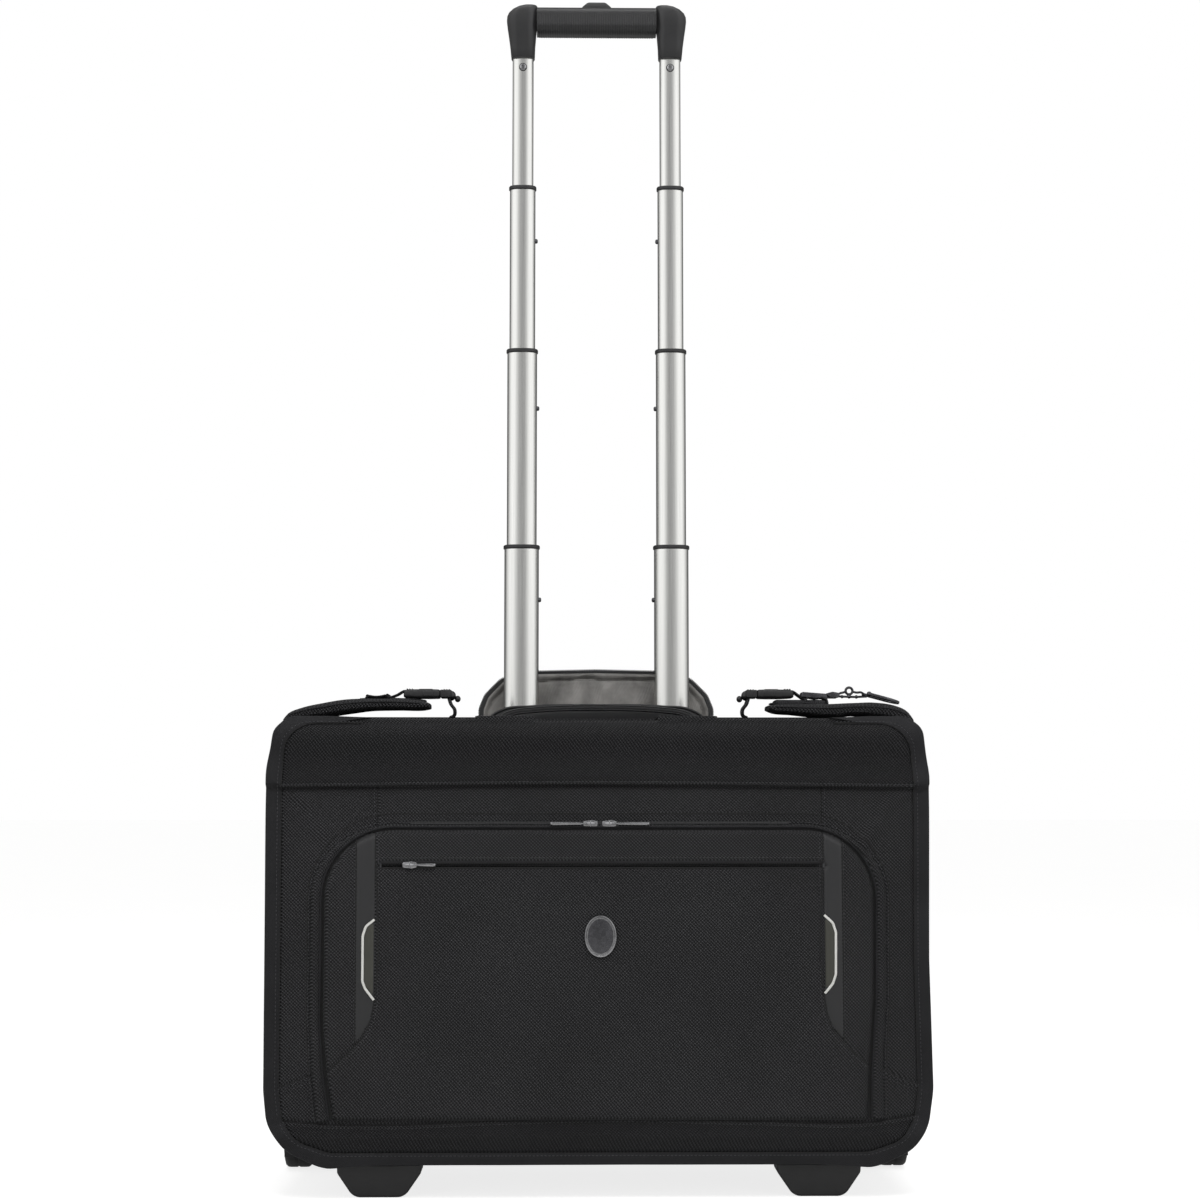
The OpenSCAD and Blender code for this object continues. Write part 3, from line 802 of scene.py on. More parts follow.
def face_depth(points):
    """Y of the sleeve's front: flat panels that roll back at the top and under the foot."""
    x, z = points.T
    y = SLEEVE_Y + 0.3 + ripples(x, z)
    y += 8.5 * np.clip((z - 388) / 16, 0, 1) ** 2
    above = z - np.interp(x, [p[0] for p in TOP_SEAM], [p[1] for p in TOP_SEAM])
    hem = np.clip(above / 2 + 0.4, 0, 1)
    y -= hem * (1.1 + 1.2 * np.cos(np.pi * np.clip(above - 3, 0, 40) / 20))
    y += (1 - hem) * 1.8 * np.clip(1 + above / 24, 0, 1) ** 1.6
    y -= 2.2 * np.exp(-((z - 55) / 6) ** 2) * (z < 66)
    y += 3.2 * np.clip((52 - z) / 20, 0, 1) ** 1.5
    for line, depth, width in ((TOP_SEAM, 1.7, 1.5), (BOTTOM_SEAM, 1.8, 1.5),
                               (UPPER_SEAMS[0], 1.6, 1.3), (UPPER_SEAMS[1], 1.6, 1.3),
                               (PATCH_SEAMS[0], 0.9, 1.2), (PATCH_SEAMS[1], 0.9, 1.2)):
        y += groove(points, line, depth, width)
        y += puckers(points, line, 0.16)
    for side in (-1, 1):
        fold = [(side * 266, 344), (side * 246, 330), (side * 224, 296)]
        y -= groove(points, fold, 1.5, 6)
        y += groove(points, [(side * 262, 334), (side * 236, 318)], 0.9, 5)
    return y


def on_face(points, lift=0.0):
    """Flat (x, z) points laid on the sleeve's front, standing off it by lift."""
    points = np.array(points, float)
    return face_on(points, face_depth(points) - lift)


def make_sleeve_shell():
    """The front half of the case as one soft tray: face, gussets, rim and lining."""
    normal = outward(FACE_EDGE)
    points, cells, border, _ = grid_in(FACE_EDGE - normal * 2.5, 1.7)
    front = face_on(points, face_depth(points) + groove(points, PANEL_EDGE, 1.3, 1.5, True))
    edge = points[border]
    way = outward(edge)
    start = front[border, 1]
    rear = SLEEVE_BACK
    rings = []
    for inset, y in ((-1.6, start + 0.8), (-2.5, start + 2.6), (-2.1, start + 12), (-1.4, -72),
                     (-2.1, rear - 12), (-2.5, rear - 3), (-1.7, rear - 0.4),
                     (0.6, rear - 0.2), (1.9, rear - 2), (2.0, start + 8), (4, start + 4.6)):
        rings.append(face_on(edge - way * inset, y))
    every, faces = skin(front, cells, border, rings)
    cloth = len(cells) + 9 * len(edge)      # the face and nine rings; the rest is lining
    shell = piece("sleeve_shell", [(every, faces)], [TWILL, LINING, PAINTED_SHADE_TWILL], "sleeve",
                  ["garment_sleeve"])
    middles = np.array([points[list(c)].mean(0) for c in cells])
    # Faces above the top seam and below the bottom seam take the darker twill: painted shade.
    seams = [np.interp(middles[:, 0], *np.array(line).T) for line in (TOP_SEAM, BOTTOM_SEAM)]
    outer = (middles[:, 1] > seams[0]) | (middles[:, 1] < seams[1])
    picks = [2 if o else 0 for o in outer] + [0] * (cloth - len(outer))
    picks += [1] * (len(faces) - cloth)
    shell.data.polygons.foreach_set("material_index", picks)


def length_of(line):
    """The length round a closed outline."""
    return np.linalg.norm(np.roll(line, -1, 0) - line, axis=1).sum()


def start_below(line):
    """The same closed outline, started at its lowest middle point."""
    line = even(line, 1.0, closed=True)
    first = int(np.argmin(np.abs(line[:, 0]) + 2 * (line[:, 1] - line[:, 1].min())))
    return np.roll(line, -first, axis=0)


def make_bindings():
    """Folded tape round the sleeve's front edge and rear rim, with its stitching."""
    edge = start_below(FACE_EDGE)
    panel = start_below(PANEL_EDGE)
    count = 640     # the same on both lines, so that they pair up
    edge, panel = (even(line, length_of(line) / count, True)[:count] for line in (edge, panel))
    way, x, z = outward(edge), edge[:, 0], edge[:, 1]
    shown = np.where(z > 390, np.clip((np.abs(x) - 196) / 34, 0, 1), 1.0)
    sag = 2.6 * np.clip(1 - np.abs(np.abs(x) - 226) / 42, 0, 1) * np.clip((52 - z) / 12, 0, 1)
    sag += 0.8 * np.clip((60 - z) / 20, 0, 1)
    rings = []
    for share, out, dy in ((1, 0, 1.4), (1, 0, -0.5), (0.9, 0, -1.2), (0.4, 0, -1.8),
                           (0, 0.3, -1.6), (0, 1.0, -0.2), (0, 1.2, 2.5), (0, 1.2, 9.5),
                           (0, 0.5, 10.4), (0, -0.6, 9.5), (0, -0.8, 2.6)):
        grow = (out * shown + sag * (share == 0) * (out > 0))[:, None]
        flat = edge + (panel - edge) * (share * shown)[:, None] + way * grow
        inner = edge + (panel - edge) * max(share, 0.2)
        back = np.where(shown > 0, dy, 1) + 2 * (1 - shown)
        rings.append(face_on(flat, face_depth(inner) + back))
    piece("front_binding", [loft(rings, joined=True)], [TAPE])
    gap = -int(np.argmax(shown < 0.3))      # both lines start in the gap by the carry handle
    keep = np.roll(shown, gap) > 0.3
    crease = np.roll(panel, gap, axis=0)[keep]
    # A near-black strip along the tape's inner edge: painted shade in the crease there.
    piece("front_binding_painted_crease_shade", [sweep(on_face(crease, 0.2), ellipse(0.6, 0.5, 8))], [PAINTED_SEAM_SHADE])
    sewn = np.roll(panel + (edge - panel) * 0.24, gap, axis=0)[keep]
    sew("front_binding_stitches", [on_face(sewn, 1.5)])
    edge = even(FACE_EDGE, 3, closed=True)
    way = outward(edge)
    rear = SLEEVE_BACK
    rings = [face_on(edge - way * inset, y) for inset, y in (
        (-0.4, rear - 10), (-1.0, rear - 9), (-1.1, rear - 3), (-0.6, rear + 0.4),
        (1.5, rear + 1.0), (4.2, rear + 0.5), (4.9, rear - 3), (4.6, rear - 8),
        (4.2, rear - 8), (4.0, rear - 2), (1.0, rear - 0.6), (0.2, rear - 3))]
    piece("sleeve_rim_binding", [loft(rings, joined=True)], [TAPE])
    sewn = face_on(edge + way * 1.0, rear - 7)
    sew("sleeve_rim_stitches", [np.vstack([sewn, sewn[:1]])])


def make_face_stitches():
    """Top-stitching beside the seams of the face."""
    lines = [smooth_path([(x, z + 2.6) for x, z in TOP_SEAM], 3),
             smooth_path([(x, z - 2.6) for x, z in BOTTOM_SEAM], 3),
             even([(-190.6, 343), (-190.6, 314)], 3), even([(190.6, 343), (190.6, 314)], 3)]
    for seam in PATCH_SEAMS:
        lines.append(smooth_path([(x, z - 2.4) for x, z in seam], 3))
        lines.append(smooth_path([(x, z - 5.4) for x, z in seam], 3))
    sew("face_stitches", [on_face(line, 0.25) for line in lines])


def make_seams():
    """The folded edges of the face's seams, and near-black strips in their joints: painted shade.
    """
    shade_strips, folds = [], []
    for line, side in ((TOP_SEAM, 1.5), (BOTTOM_SEAM, -1.5), (PATCH_SEAMS[0], -1.4),
                       (PATCH_SEAMS[1], -1.4)):
        path = smooth_path(line, 3)
        shade_strips.append(sweep(on_face(path, 0.15), ellipse(0.55, 0.4, 8)))
        folds.append(sweep(on_face(path + (0, side), 0.1), ellipse(1.1, 0.55, 10)))
    for line, side in ((UPPER_SEAMS[0], -1.2), (UPPER_SEAMS[1], 1.2)):
        path = even(line, 3)
        shade_strips.append(sweep(on_face(path, 0.25), ellipse(0.6, 0.4, 8)))
        folds.append(sweep(on_face(path + (side, 0), 0.05), ellipse(0.9, 0.45, 10)))
    # The strips in the seams are painted shade.
    piece("face_seam_painted_shade", shade_strips, [PAINTED_SEAM_SHADE])
    piece("face_seam_folds", folds, [TWILL], "sleeve")


# ---- the arched pocket ----------------------------------------------------------------------

POCKET_EDGE = fillet([
    (-223.5, 66, 3), (-229.5, 107, 60), (-232.4, 150, 100), (-232.2, 308.6, 58),
    (231.6, 308.6, 58), (230.4, 170, 100), (226, 104, 50), (225.4, 66, 3)], 14)
LEFT_CURVE = [(-188.4, 306), (-188.4, 166), (-190.8, 152), (-199.5, 134.5), (-208, 125),
              (-229, 106)]
RIGHT_CURVE = [(187.8, 306), (187.8, 170), (190.4, 155), (194.5, 143), (202, 133), (225, 112.5)]
SLASH = [(-184, 279.3), (188.4, 279.3)]


def centre_panel():
    """The outline of the raised middle panel, which spreads out below the side strips."""
    left, right = smooth_path(LEFT_CURVE[1:], 4), smooth_path(RIGHT_CURVE[1:], 4)
    return np.vstack([[(-188.4, 314)], left, [(-240, 96), (-240, 50), (240, 50), (240, 102)],
                      right[::-1], [(187.8, 314)]])


CENTRE = centre_panel()


def pocket_depth(points):
    """Y of the pocket's face: a cushioned edge, a raised middle panel and a sunk slit."""
    x, z = points.T
    far, _ = to_line(POCKET_EDGE, points, closed=True)
    deep = np.where(within(POCKET_EDGE, points), far, 0)
    roll = np.clip(1 - deep / 5, 0, 1)
    y = POCKET_Y + 0.6 + 6.2 * (1 - np.sqrt(1 - 0.985 * roll ** 2)) + 0.7 * ripples(x, z)
    y += 0.8 * np.exp(-deep / 16)
    y += 3.6 * np.clip((150 - z) / 84, 0, 1) ** 1.6
    edge, _ = to_line(CENTRE, points, closed=True)
    into = np.where(within(CENTRE, points), edge, -edge)
    y -= 0.75 / (1 + np.exp(-into / 0.55))
    y += 0.8 * np.exp(-((into + 0.9) / 1.0) ** 2)
    slit, _ = to_line(SLASH, points)
    above = z > SLASH[0][1]
    y += np.where(above, 2.6 * np.exp(-(slit / 1.4) ** 2), 2.6 * np.exp(-(slit / 2.9) ** 2))
    y -= 1.2 * np.exp(-((z - 284.4) / 2.8) ** 2) * (np.abs(x) < 188)
    y += puckers(points, CENTRE[:-1], 0.1)
    return y


def on_pocket(points, lift=0.0):
    """Flat (x, z) points laid on the pocket's face, standing off it by lift."""
    points = np.array(points, float)
    return face_on(points, pocket_depth(points) - lift)


def make_pocket():
    """The arched pocket's padded face and its sides."""
    points, cells, border, _ = grid_in(POCKET_EDGE, 1.6)
    front = face_on(points, pocket_depth(points))
    edge = points[border]
    rings = [face_on(edge, SLEEVE_Y + 1.4), face_on(edge - outward(edge) * 3, SLEEVE_Y + 1.5)]
    pocket = piece("arched_pocket", [skin(front, cells, border, rings)], [TWILL], "sleeve",
                   ["front_pocket"])


def patch_on_pocket(name, outline, finish, lift, step=1.6, rim=1.2):
    """A thin applied shape that follows the pocket's face, with its rim pressed in."""
    points, cells, border, deep = grid_in(outline, step)
    rise = lift * np.clip(deep / rim, 0, 1) ** 0.5
    top = face_on(points, pocket_depth(points) - rise + 0.15)
    base = face_on(points[border], pocket_depth(points[border]) + 0.9)
    piece(name, [skin(top, cells, border, [base])], [finish])


def make_side_strips():
    """Smooth coated strips beside the middle panel, each with a reflective bracket."""
    left = fillet([(-204.6, 131.5, 0), (-205, 303.5, 0), (-188.9, 308, 0), (-188.9, 165, 20),
                   (-192, 149, 20), (-200, 135.6, 0)])
    right = fillet([(188.4, 169, 20), (188.4, 307.6, 0), (204.4, 303, 0), (204.4, 132.4, 0),
                    (201.6, 135, 10), (194, 145.6, 16), (190.6, 156, 16)])
    patch_on_pocket("side_strip_left", left, COATED, 0.45)
    patch_on_pocket("side_strip_right", right, COATED, 0.45)
    lines = {"left": [(-189.2, 234), (-196.2, 228.4), (-198.8, 220.6), (-198.8, 183),
                      (-196.6, 177), (-189.2, 167.4)],
             "right": [(188.8, 237.4), (195.8, 231), (198.4, 223), (198, 188), (195.4, 180.4),
                       (188.8, 172.4)]}
    section = soft_box(2.1, 0.9, 0.4)
    for side, line in lines.items():
        middle = fillet([(x, z, 5) for x, z in line])
        patch_on_pocket("reflective_patch_" + side, middle, OLIVE, 0.8, 1.3)
        bend = even(fillet([(*line[0], 0)] + [(x, z, 5) for x, z in line[1:-1]]
                           + [(*line[-1], 0)]), 1.5)
        piece("reflective_bracket_" + side, [sweep(on_pocket(bend, 0.95), section)], [REFLECTIVE])


def make_pocket_stitches():
    """Top-stitching inside the middle panel's edge and beside the side strips."""
    inset = 2.4
    left = smooth_path([(x + inset, z - 0.6) for x, z in LEFT_CURVE[1:]], 3)
    right = smooth_path([(x - inset, z - 0.6) for x, z in RIGHT_CURVE[1:]], 3)
    lines = [even([(-188.4 + inset, 304), (-188.4 + inset, 166)], 3), left,
             even([(187.8 - inset, 304), (187.8 - inset, 170)], 3), right,
             even([(-183, 285.4), (187, 285.4)], 3),
             even([(-205.8, 300), (-205.8, 133)], 3), even([(205.4, 300), (205.4, 134)], 3)]
    sew("pocket_stitches", [on_pocket(line, 0.2) for line in lines])


def make_pocket_seam_shade():
    """Painted shade: near-black strips beside the side strips and under the middle panel's edge.
    """
    lines = [smooth_path(LEFT_CURVE, 3), smooth_path(RIGHT_CURVE, 3),
             even([(-205.2, 302), (-205.2, 131)], 3), even([(204.8, 302), (204.8, 132)], 3)]
    lines[0], lines[1] = lines[0] - (0.5, 0), lines[1] + (0.5, 0)
    piece("pocket_seam_painted_shade", [sweep(on_pocket(line, 0.25), ellipse(0.5, 0.4, 8))
                                 for line in lines], [PAINTED_SEAM_SHADE])


def make_slash_zip():
    """The coil in the slit, with a folded welt above it and painted shade lines along both its
    lips.
    """
    line = even([(-183.5, 279.1), (188, 279.1)], 4)
    tape = sweep(on_pocket(line, -0.2), soft_box(3.4, 0.9, 0.3))
    piece("slash_zip_tape", [tape], [COIL])
    row("slash_zip_teeth", [on_pocket(line, 0.5)], TEETH, 1.5, (0.9, 0.8, 2.2))
    # Near-black lines above and below the slit: painted shade.
    for name, drop in (("upper", 1.6), ("lower", -2.1)):
        shade = sweep(on_pocket(line + (0, drop), 0.3), ellipse(0.75, 0.4, 8))
        piece("slash_zip_joint_" + name, [shade], [PAINTED_SEAM_SHADE])
    welt = even([(-184.6, 281.7), (188.6, 281.7)], 4)
    piece("slash_zip_welt", [sweep(on_pocket(welt, 0.05), ellipse(1.25, 0.65))], [TAPE])
    ends = [sweep(on_pocket([(x, 281.6), (x, 277.2)], 0.3), soft_box(1.6, 0.7, 0.3))
            for x in (-184.4, 188.8)]
    piece("slash_zip_bar_tacks", ends, [THREAD])


def make_arch_zip():
    """The arched opening: its coil, its tape in the gap in painted-shade black, and the flap over
    it with a painted shade line beside it.
    """
    start = int(np.argmin(np.hypot(POCKET_EDGE[:, 0] + 223.5, POCKET_EDGE[:, 1] - 69)))
    arch = np.roll(POCKET_EDGE, -start, axis=0)
    arch = arch[:int(np.argmin(np.hypot(arch[:, 0] - 225.4, arch[:, 1] - 69))) + 1]
    arch = even(arch, 3)
    way = beside(arch)
    outer = arch + way * 0.9
    # The zip tape in the gap is near-black: partly the real black tape, partly painted shade in
    # the gap.
    piece("arch_zip_tape_and_gap_shade", [sweep(on_face(outer, -0.1), soft_box(3.0, 1.0, 0.4))], [PAINTED_SEAM_SHADE])
    piece("arch_zip_piping", [sweep(on_face(arch + way * 2.6, 1.5), ellipse(1.0, 1.0, 10))],
          [TAPE])
    # A near-black line beside the flap: painted shade.
    piece("arch_flap_painted_shade", [sweep(on_face(arch + way * 14, 0.0), ellipse(0.5, 0.4, 8))], [PAINTED_SEAM_SHADE])
    high = np.clip((arch[:, 1] - 262) / 46, 0, 1)
    low = np.clip((130 - arch[:, 1]) / 60, 0, 1)
    wide = 9.5 - 6.4 * high ** 1.5 + 2.0 * low      # narrow along the top, wide at the feet
    rings = []
    profile = ((0.22, 1.4), (0.16, -1.6), (0.3, -3.0), (0.55, -3.3), (0.82, -2.6),
               (0.97, -1.0), (1.0, 1.0))
    for share, dy in profile:
        flat = arch + way * (1.6 + wide * share)[:, None]
        rings.append(face_on(flat, face_depth(flat) + dy * (1 - 0.35 * high)))
    count = len(arch)
    faces = []
    for k in range(len(rings)):
        a, b = k * count, (k + 1) % len(rings) * count
        faces += [(a + i, a + i + 1, b + i + 1, b + i) for i in range(count - 1)]
    faces.append(tuple(k * count for k in range(len(rings))))
    faces.append(tuple(k * count + count - 1 for k in range(len(rings))))
    piece("arch_zip_flap", [(np.concatenate(rings), faces)], [TWILL], "sleeve")
    sewn = arch + way * (1.6 + wide + 1.6)[:, None]
    sew("arch_zip_stitches", [on_face(sewn, 0.2)])
    top = even([(-160, 314.6), (160, 314.6)], 4)
    piece("arch_zip_coil", [sweep(on_face(top, 0.1), soft_box(2.6, 1.0, 0.4))], [COIL])


def make_badge():
    """A plain domed oval plate with a polished rim and a dull field."""
    rings = []
    for half_x, half_z, dy in ((14, 18, 0.2), (14, 18, -1.2), (13.3, 17.3, -2.2),
                               (12.3, 16.3, -2.3), (11.7, 15.7, -1.6)):
        flat = ellipse(half_x, half_z, 64) + (0.5, 220)
        rings.append(face_on(flat, POCKET_Y - 0.2 + dy))
    rim = loft(rings)
    field = [face_on(ellipse(11.7 * s, 15.7 * s, 64) + (0.5, 220),
                     POCKET_Y - 1.7 - 0.7 * (1 - s * s)) for s in (1, 0.8, 0.5, 0.2)]
    piece("badge", [rim, (*loft(field), 1)], [NICKEL, GUNMETAL], "sleeve",
          ["badge_plate"])


# ---- the sleeve's straps, buckles and hook --------------------------------------------------


def padded_strap(stations, front, back, count=28, step=3.0):
    """A stuffed strap along X through (x, underside, top), thick in its middle."""
    path = smooth_path(stations, step)
    along = np.linspace(0, 1, len(path))
    turn = np.linspace(0, 2 * math.pi, count, endpoint=False)
    across = np.sign(np.cos(turn)) * np.abs(np.cos(turn)) ** 0.5
    upward = np.sign(np.sin(turn)) * np.abs(np.sin(turn)) ** 0.62
    rings = []
    for (x, low, high), t in zip(path, along):
        ends = min(1.0, 0.72 + 9 * min(t, 1 - t))
        sway = 0.5 * math.sin(x / 9) + 0.3 * math.sin(x / 4.1)
        y = (front + back) / 2 + across * ((back - front) / 2 * (0.96 + 0.04 * ends) + sway * 0.4)
        z = (low + high) / 2 + upward * ((high - low) / 2 * ends) + 0.15 * sway
        rings.append(np.stack([np.full(count, x), y, z], 1))
    return loft(rings)


WING_LEFT = [(-272.5, 398, 405), (-268, 401, 409.5), (-258, 403.2, 413.5), (-240, 405.2, 417.8),
             (-218, 408.6, 421), (-196, 411.4, 421.6), (-173, 411.8, 421.3),
             (-155, 411.6, 420), (-147.4, 412.2, 418.4)]
WING_RIGHT = [(147.4, 411, 416.6), (153, 409.4, 416.8), (170, 407.8, 416.9),
              (190, 405.4, 417), (204, 404.8, 417.4), (222, 407, 418.2), (240, 405, 418.4),
              (256, 402.8, 416.4), (267, 399, 411.8), (272.5, 396, 406)]
WING_Y = cad("wing_left")[0][1], cad("wing_left")[1][1]


def make_wings():
    """The padded hanger straps that fold over the top corners, each with a front welt."""
    for side, stations in (("left", WING_LEFT), ("right", WING_RIGHT)):
        wing = piece("hanger_strap_" + side, [padded_strap(stations, *WING_Y)], [TWILL],
                     "sleeve", ["wing_" + side])
        line = smooth_path([(x, low + 0.66 * (high - low)) for x, low, high in stations[1:-1]], 3)
        welt = face_on(line, WING_Y[0] + 0.6)
        piece("hanger_welt_" + side, [sweep(welt, ellipse(0.8, 1.0, 10))], [TAPE])
        low_line = smooth_path([(x, low + 0.3 * (high - low)) for x, low, high in
                                stations[1:-1]], 3)
        sew("hanger_stitches_" + side, [face_on(low_line, WING_Y[0] + 0.3)])


def band(path, width, thick, y):
    """Flat webbing on edge-on path points (x, z), centred on y."""
    line = smooth_path(path, 2)
    return sweep(face_on(line, y), soft_box(thick, width, thick * 0.45))


def make_strap_webbing():
    """Webbing from each wing to its buckle, under a bar-tacked keeper."""
    y = (cad("buckle_socket_left")[0][1] + cad("buckle_socket_left")[1][1]) / 2
    left = [band([(-208, 421.4), (-196, 422.2), (-184, 422.5), (-176, 425.2), (-169, 428.8),
                  (-166, 428.6)], 20, 1.3, y),
            band([(-186, 422), (-172, 421.6), (-160, 421.2), (-151, 420)], 20, 1.3, y)]
    keeper = [band([(-203, 422.2), (-200, 424), (-196, 423.4), (-190, 423.6), (-185, 424.4),
                    (-182.5, 422.6)], 26, 1.6, y),
              sweep([(-201.2, y - 13, 424), (-201.2, y + 13, 424)], ellipse(1.5, 1.3),
                    up=(0, 0, 1)),
              sweep([(-184, y - 13, 424.6), (-184, y + 13, 424.6)], ellipse(1.5, 1.3),
                    up=(0, 0, 1))]
    piece("strap_webbing_left", left, [WEBBING])
    piece("strap_keeper_left", keeper, [TAPE])
    right = [band([(166, 428.4), (169, 428.6), (174, 425.5), (180, 421.4), (186, 418.4),
                   (196, 417)], 20, 1.3, y),
             band([(150, 417.6), (162, 418.2), (176, 418), (190, 417.4)], 20, 1.3, y)]
    holder = [band([(181, 416.6), (180.6, 419), (181.4, 422.4), (190, 422.6), (198, 422.2),
                    (199.6, 419), (199.6, 416.4)], 22, 1.8, y)]
    right.append(slab(soft_box(46, 20, 3) + (176, y), 412.6, 421, 2.4, "xy"))
    piece("strap_webbing_right", right, [WEBBING])
    piece("hook_webbing", holder, [WEBBING])


def buckle_socket():
    """The left side-release socket: a hollow rounded shell with ribs and side windows."""
    low, high = cad("buckle_socket_left")
    y, z = (low[1] + high[1]) / 2, (low[2] + high[2]) / 2
    rings = []
    for x, wide, tall in ((low[0], 20.5, 5.4), (low[0] + 0.8, 22.4, 6.6), (low[0] + 4, 23, 7.2),
                          (low[0] + 10, 24, 7.8), (low[0] + 22, 24, 8), (low[0] + 30, 23.4, 7.6),
                          (high[0], 22.8, 7), (high[0], 19.6, 5), (low[0] + 16, 19.2, 4.8)):
        rings.append(upright(soft_box(wide, tall, 2.4, 5) + (y, z), x))
    ribs = [slab(soft_box(0.9, 20, 0.4) + (x, y), z + 3.4, z + 4.5, 0.3, "xy")
            for x in (low[0] + 3, low[0] + 5.2, low[0] + 7.4)]
    windows = [slab(soft_box(9, 1.4, 0.6) + (low[0] + 21, y + s * 12), z - 2, z + 2, 0.3, "xy")
               for s in (-1, 1)]
    plate = slab(soft_box(12, 14, 2) + (low[0] + 19, y), z + 3.6, z + 4.4, 0.35, "xy")
    return [loft(rings)] + ribs + windows + [plate]


def buckle_plug():
    """The left plug: two sprung prongs and a guide on a ribbed body, and a cord stopper."""
    low, high = cad("buckle_plug_left")
    y, z = (low[1] + high[1]) / 2, (low[2] + high[2]) / 2
    body = fillet([(high[0] - 11, y - 11.6, 1.5), (high[0] - 1, y - 10.5, 2.5),
                   (high[0] - 1, y + 10.5, 2.5), (high[0] - 11, y + 11.6, 1.5)])
    parts = [slab(body, z - 3.6, z + 3.6, 1.2, "xy")]
    for side in (-1, 1):
        prong = [(high[0] - 10, y + side * 8.6, 0), (high[0] - 10, y + side * 5.6, 0),
                 (high[0] - 19, y + side * 6.4, 1), (low[0] + 1, y + side * 5.4, 1),
                 (low[0] + 1.6, y + side * 8.4, 1.5), (high[0] - 20, y + side * 9.2, 1)]
        parts.append(slab(fillet(prong, 5), z - 1.8, z + 1.8, 0.5, "xy"))
    parts.append(slab(soft_box(17, 3, 1) + (high[0] - 17.5, y), z - 1.2, z + 1.2, 0.4, "xy"))
    parts += [slab(soft_box(0.9, 19, 0.4) + (high[0] - x, y), z + 3.1, z + 4.1, 0.3, "xy")
              for x in (3, 5.2, 7.4)]
    return parts


def ball(centre, radius, squeeze=1.0):
    """A lathe-turned bead whose ends are closed."""
    angles = np.linspace(0.12, math.pi - 0.12, 12)
    return loft([upright(ellipse(radius * math.sin(a), radius * math.sin(a), 20)
                         + centre[1:], centre[0] - squeeze * radius * math.cos(a))
                 for a in angles])


def make_buckles():
    """Both side-release buckles, each plug with its stopper and a loop of cord."""
    socket, plug = buckle_socket(), buckle_plug()
    y = (cad("buckle_plug_left")[0][1] + cad("buckle_plug_left")[1][1]) / 2
    stopper = [ball((-128.8, y, 424.6), 4.3, 0.9), ball((-123.4, y, 421.8), 2.9, 0.9)]
    route = smooth_path([(-131, y - 7, 422.6), (-129.4, y - 7.4, 417.5), (-126, y - 6, 412.4),
                         (-126.4, y - 3, 407.2), (-129.6, y, 405.8), (-126.4, y + 3, 407.2),
                         (-126, y + 6, 412.4), (-129.4, y + 7.4, 417.5), (-131, y + 7, 422.6)],
                        1.2)
    loop = sweep(route, ellipse(1.4, 1.4, 10), up=(0.3, 0.1, 1))
    for side, turn in (("left", lambda part: part), ("right", mirrored)):
        piece("buckle_socket_" + side + "_body", [turn(p) for p in socket], [NYLON], "sleeve",
              ["buckle_socket_" + side])
        piece("buckle_plug_" + side + "_body", [turn(p) for p in plug], [NYLON],
              side + "_plug", ["buckle_plug_" + side])
        piece("cord_stopper_" + side, [turn(p) for p in stopper], [GLOSSY], side + "_plug")
        piece("cord_loop_" + side, [turn(loop)], [WEBBING], side + "_plug")


def make_hook():
    """The folded clip on the strap, and the swivel hook that lies over the corner."""
    pin = (208, -48, 425)
    clip = slab(fillet([(176.6, 423.2, 0.8), (199.6, 422, 0.8), (204, 423, 1), (199.2, 426.2, 1),
                        (177.4, 427.9, 1.2)]), pin[1] - 9, pin[1] + 9, 0.7)
    ears = [slab(fillet([(199, 422.6, 1), (210, 422.6, 2), (210.4, 427, 2.2), (204, 428, 2),
                         (198, 426.4, 1)]), y, y + 2.2, 0.5) for y in (pin[1] - 9, pin[1] + 6.8)]
    piece("hook_clip", [clip] + ears, [GUNMETAL], "sleeve", ["hook_loop"])
    turns = np.linspace(0, 2 * math.pi, 28, endpoint=False)
    ring = np.stack([219.6 + 3.0 * np.cos(turns), np.full(28, -48.0),
                     429.0 + 3.0 * np.sin(turns)], 1)
    parts = [sweep(ring, ellipse(1.1, 1.5, 10), closed=True),
             sweep([(208, -54.8, 425), (208, -41.2, 425)], ellipse(1.5, 1.5, 14), up=(0, 0, 1)),
             ball((219.6, -48, 424.2), 1.9), ball((213.4, -48, 424), 1.5),
             ball((226, -48, 423.8), 1.6)]
    for arm in ([(208, -48, 425.4), (212.5, -48, 427.2), (216.8, -48, 428.2)],
                [(222.4, -48, 428.4), (226.4, -48, 427.6), (230, -48, 427.8),
                 (233.6, -48, 425.6)],
                [(209, -48, 424.4), (216, -48, 424), (226, -48, 423.8), (235, -48, 424.2)]):
        parts.append(sweep(smooth_path(arm, 1), ellipse(1.0, 1.6, 10)))
    bends = np.linspace(math.pi / 2, -math.pi / 2, 15)
    shank = [(231, -46.5), (240, -46.5), (249.5, -46.5)]
    bend = [(249.5 + 11.2 * math.cos(a), -57.7 + 11.2 * math.sin(a)) for a in bends]
    tip = [(243, -68.9), (234.5, -68.2)]
    flat = even(shank + bend[1:] + tip, 1.5)
    drop = 425.6 - np.clip(flat[:, 0] - 234, 0, None) * 0.27
    hook = np.stack([flat[:, 0], flat[:, 1], drop], 1)
    parts.append(sweep(hook, soft_box(3.2, 2.8, 1.0), up=(0.27, 0, 1)))
    parts.append(ball(tuple(hook[-1]), 2.2))
    piece("swivel_hook", parts, [GUNMETAL], "hook", ["hanging_hook"])


